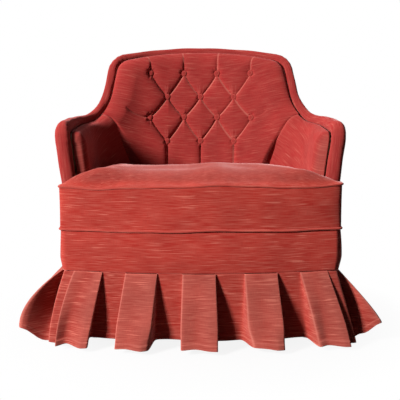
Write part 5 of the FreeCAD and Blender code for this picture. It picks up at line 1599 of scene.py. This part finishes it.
class CHAIR_OT_stage(Operator):
    """Set the pale floor, the soft light and the camera"""

    bl_idname = "chair.stage"
    bl_label = "Stage"

    def execute(self, context):
        look = context.scene.chair_stage
        self.floor(look)
        self.world(look)
        self.lamp("key", KEY_PLACE, 0.7, look.key)
        self.lamp("back", BACK_PLACE, 1.4, look.back)
        self.camera(context)
        context.scene.view_settings.view_transform = "Standard"
        return {"FINISHED"}

    def floor(self, look):
        bpy.ops.object.select_all(action="DESELECT")
        bpy.ops.mesh.primitive_plane_add(size=14, location=(0, 0, 0))
        floor = bpy.context.object
        floor.name = "floor"
        material = bpy.data.materials.new("Pale floor")
        material.use_nodes = True
        tree = material.node_tree
        tree.nodes.clear()
        matt = add_node(tree, "ShaderNodeBsdfDiffuse", (-200, 100))
        white = add_node(tree, "ShaderNodeEmission", (-200, -60))
        seen = seen_rays(tree, -800, 300)
        shown = mix_of(tree, seen, (*look.floor, 1), (0.95, 0.95, 0.95, 1), (-400, 160))
        tree.links.new(shown, matt.inputs["Color"])
        length = add_node(tree, "ShaderNodeVectorMath", (-600, 60), operation="LENGTH")
        tree.links.new(object_vector(tree, (-800, 60)), length.inputs[0])
        clear = remap(tree, length.outputs["Value"], 0.3, 0.62, 0.88, 1.0, (-440, 60))
        mix = add_node(tree, "ShaderNodeMixShader", (20, 60))
        tree.links.new(math_of(tree, "MULTIPLY", seen, clear, (-200, 260)), mix.inputs["Fac"])
        tree.links.new(matt.outputs["BSDF"], mix.inputs[1])
        tree.links.new(white.outputs["Emission"], mix.inputs[2])
        out = add_node(tree, "ShaderNodeOutputMaterial", (220, 60))
        tree.links.new(mix.outputs["Shader"], out.inputs["Surface"])
        floor.data.materials.append(material)

    def world(self, look):
        world = bpy.data.worlds.new("Studio")
        bpy.context.scene.world = world
        world.use_nodes = True
        tree = world.node_tree
        back = tree.nodes["Background"]
        back.inputs["Color"].default_value = (1, 1, 1, 1)
        seen = seen_rays(tree, -700, 0)
        tree.links.new(remap(tree, seen, 0, 1, look.fill, 1.0, (-180, 0)), back.inputs["Strength"])

    def lamp(self, name, place, size, energy):
        bpy.ops.object.light_add(type="AREA", location=place)
        lamp = bpy.context.object
        lamp.name = name
        lamp.data.size = size
        lamp.data.energy = energy
        aim = Vector(LAMP_AIM) - Vector(place)
        lamp.rotation_euler = aim.to_track_quat("-Z", "Y").to_euler()

    def camera(self, context):
        bpy.ops.object.camera_add(location=CAMERA_PLACE, rotation=(math.radians(CAMERA_TILT), 0, 0))
        camera = bpy.context.object
        camera.data.lens = 67.5
        camera.data.sensor_width = 36.0
        camera.data.shift_x = -0.0015
        context.scene.camera = camera


class CHAIR_PT_panel(Panel):
    """Steps that dress the chair, with their sizes and colours"""

    bl_label = "Crapaud armchair"
    bl_idname = "CHAIR_PT_panel"
    bl_space_type = "VIEW_3D"
    bl_region_type = "UI"
    bl_category = "Chair"

    def draw(self, context):
        layout = self.layout
        for group in (context.scene.chair_form, context.scene.chair_velvet, context.scene.chair_stage):
            box = layout.box()
            for key in group.__annotations__:
                box.prop(group, key)
        for step in STEPS:
            layout.operator(step.bl_idname)


STEPS = (CHAIR_OT_wood_and_steel, CHAIR_OT_inner_cloth, CHAIR_OT_tufted_back, CHAIR_OT_inside_arms,
         CHAIR_OT_edge_roll, CHAIR_OT_outside_covers, CHAIR_OT_seat_cushion, CHAIR_OT_pleated_skirt,
         CHAIR_OT_stage)
GROUPS = {"chair_velvet": VelvetLook, "chair_form": ChairForm, "chair_stage": StageLook}


def register():
    for cls in (*GROUPS.values(), *STEPS, CHAIR_PT_panel):
        bpy.utils.register_class(cls)
    for name, group in GROUPS.items():
        setattr(bpy.types.Scene, name, PointerProperty(type=group))


def unregister():
    for name in GROUPS:
        delattr(bpy.types.Scene, name)
    for cls in reversed((*GROUPS.values(), *STEPS, CHAIR_PT_panel)):
        bpy.utils.unregister_class(cls)


def main():
    register()
    for step in STEPS:
        area, name = step.bl_idname.split(".")
        getattr(getattr(bpy.ops, area), name)()


if __name__ == "__main__":
    main()
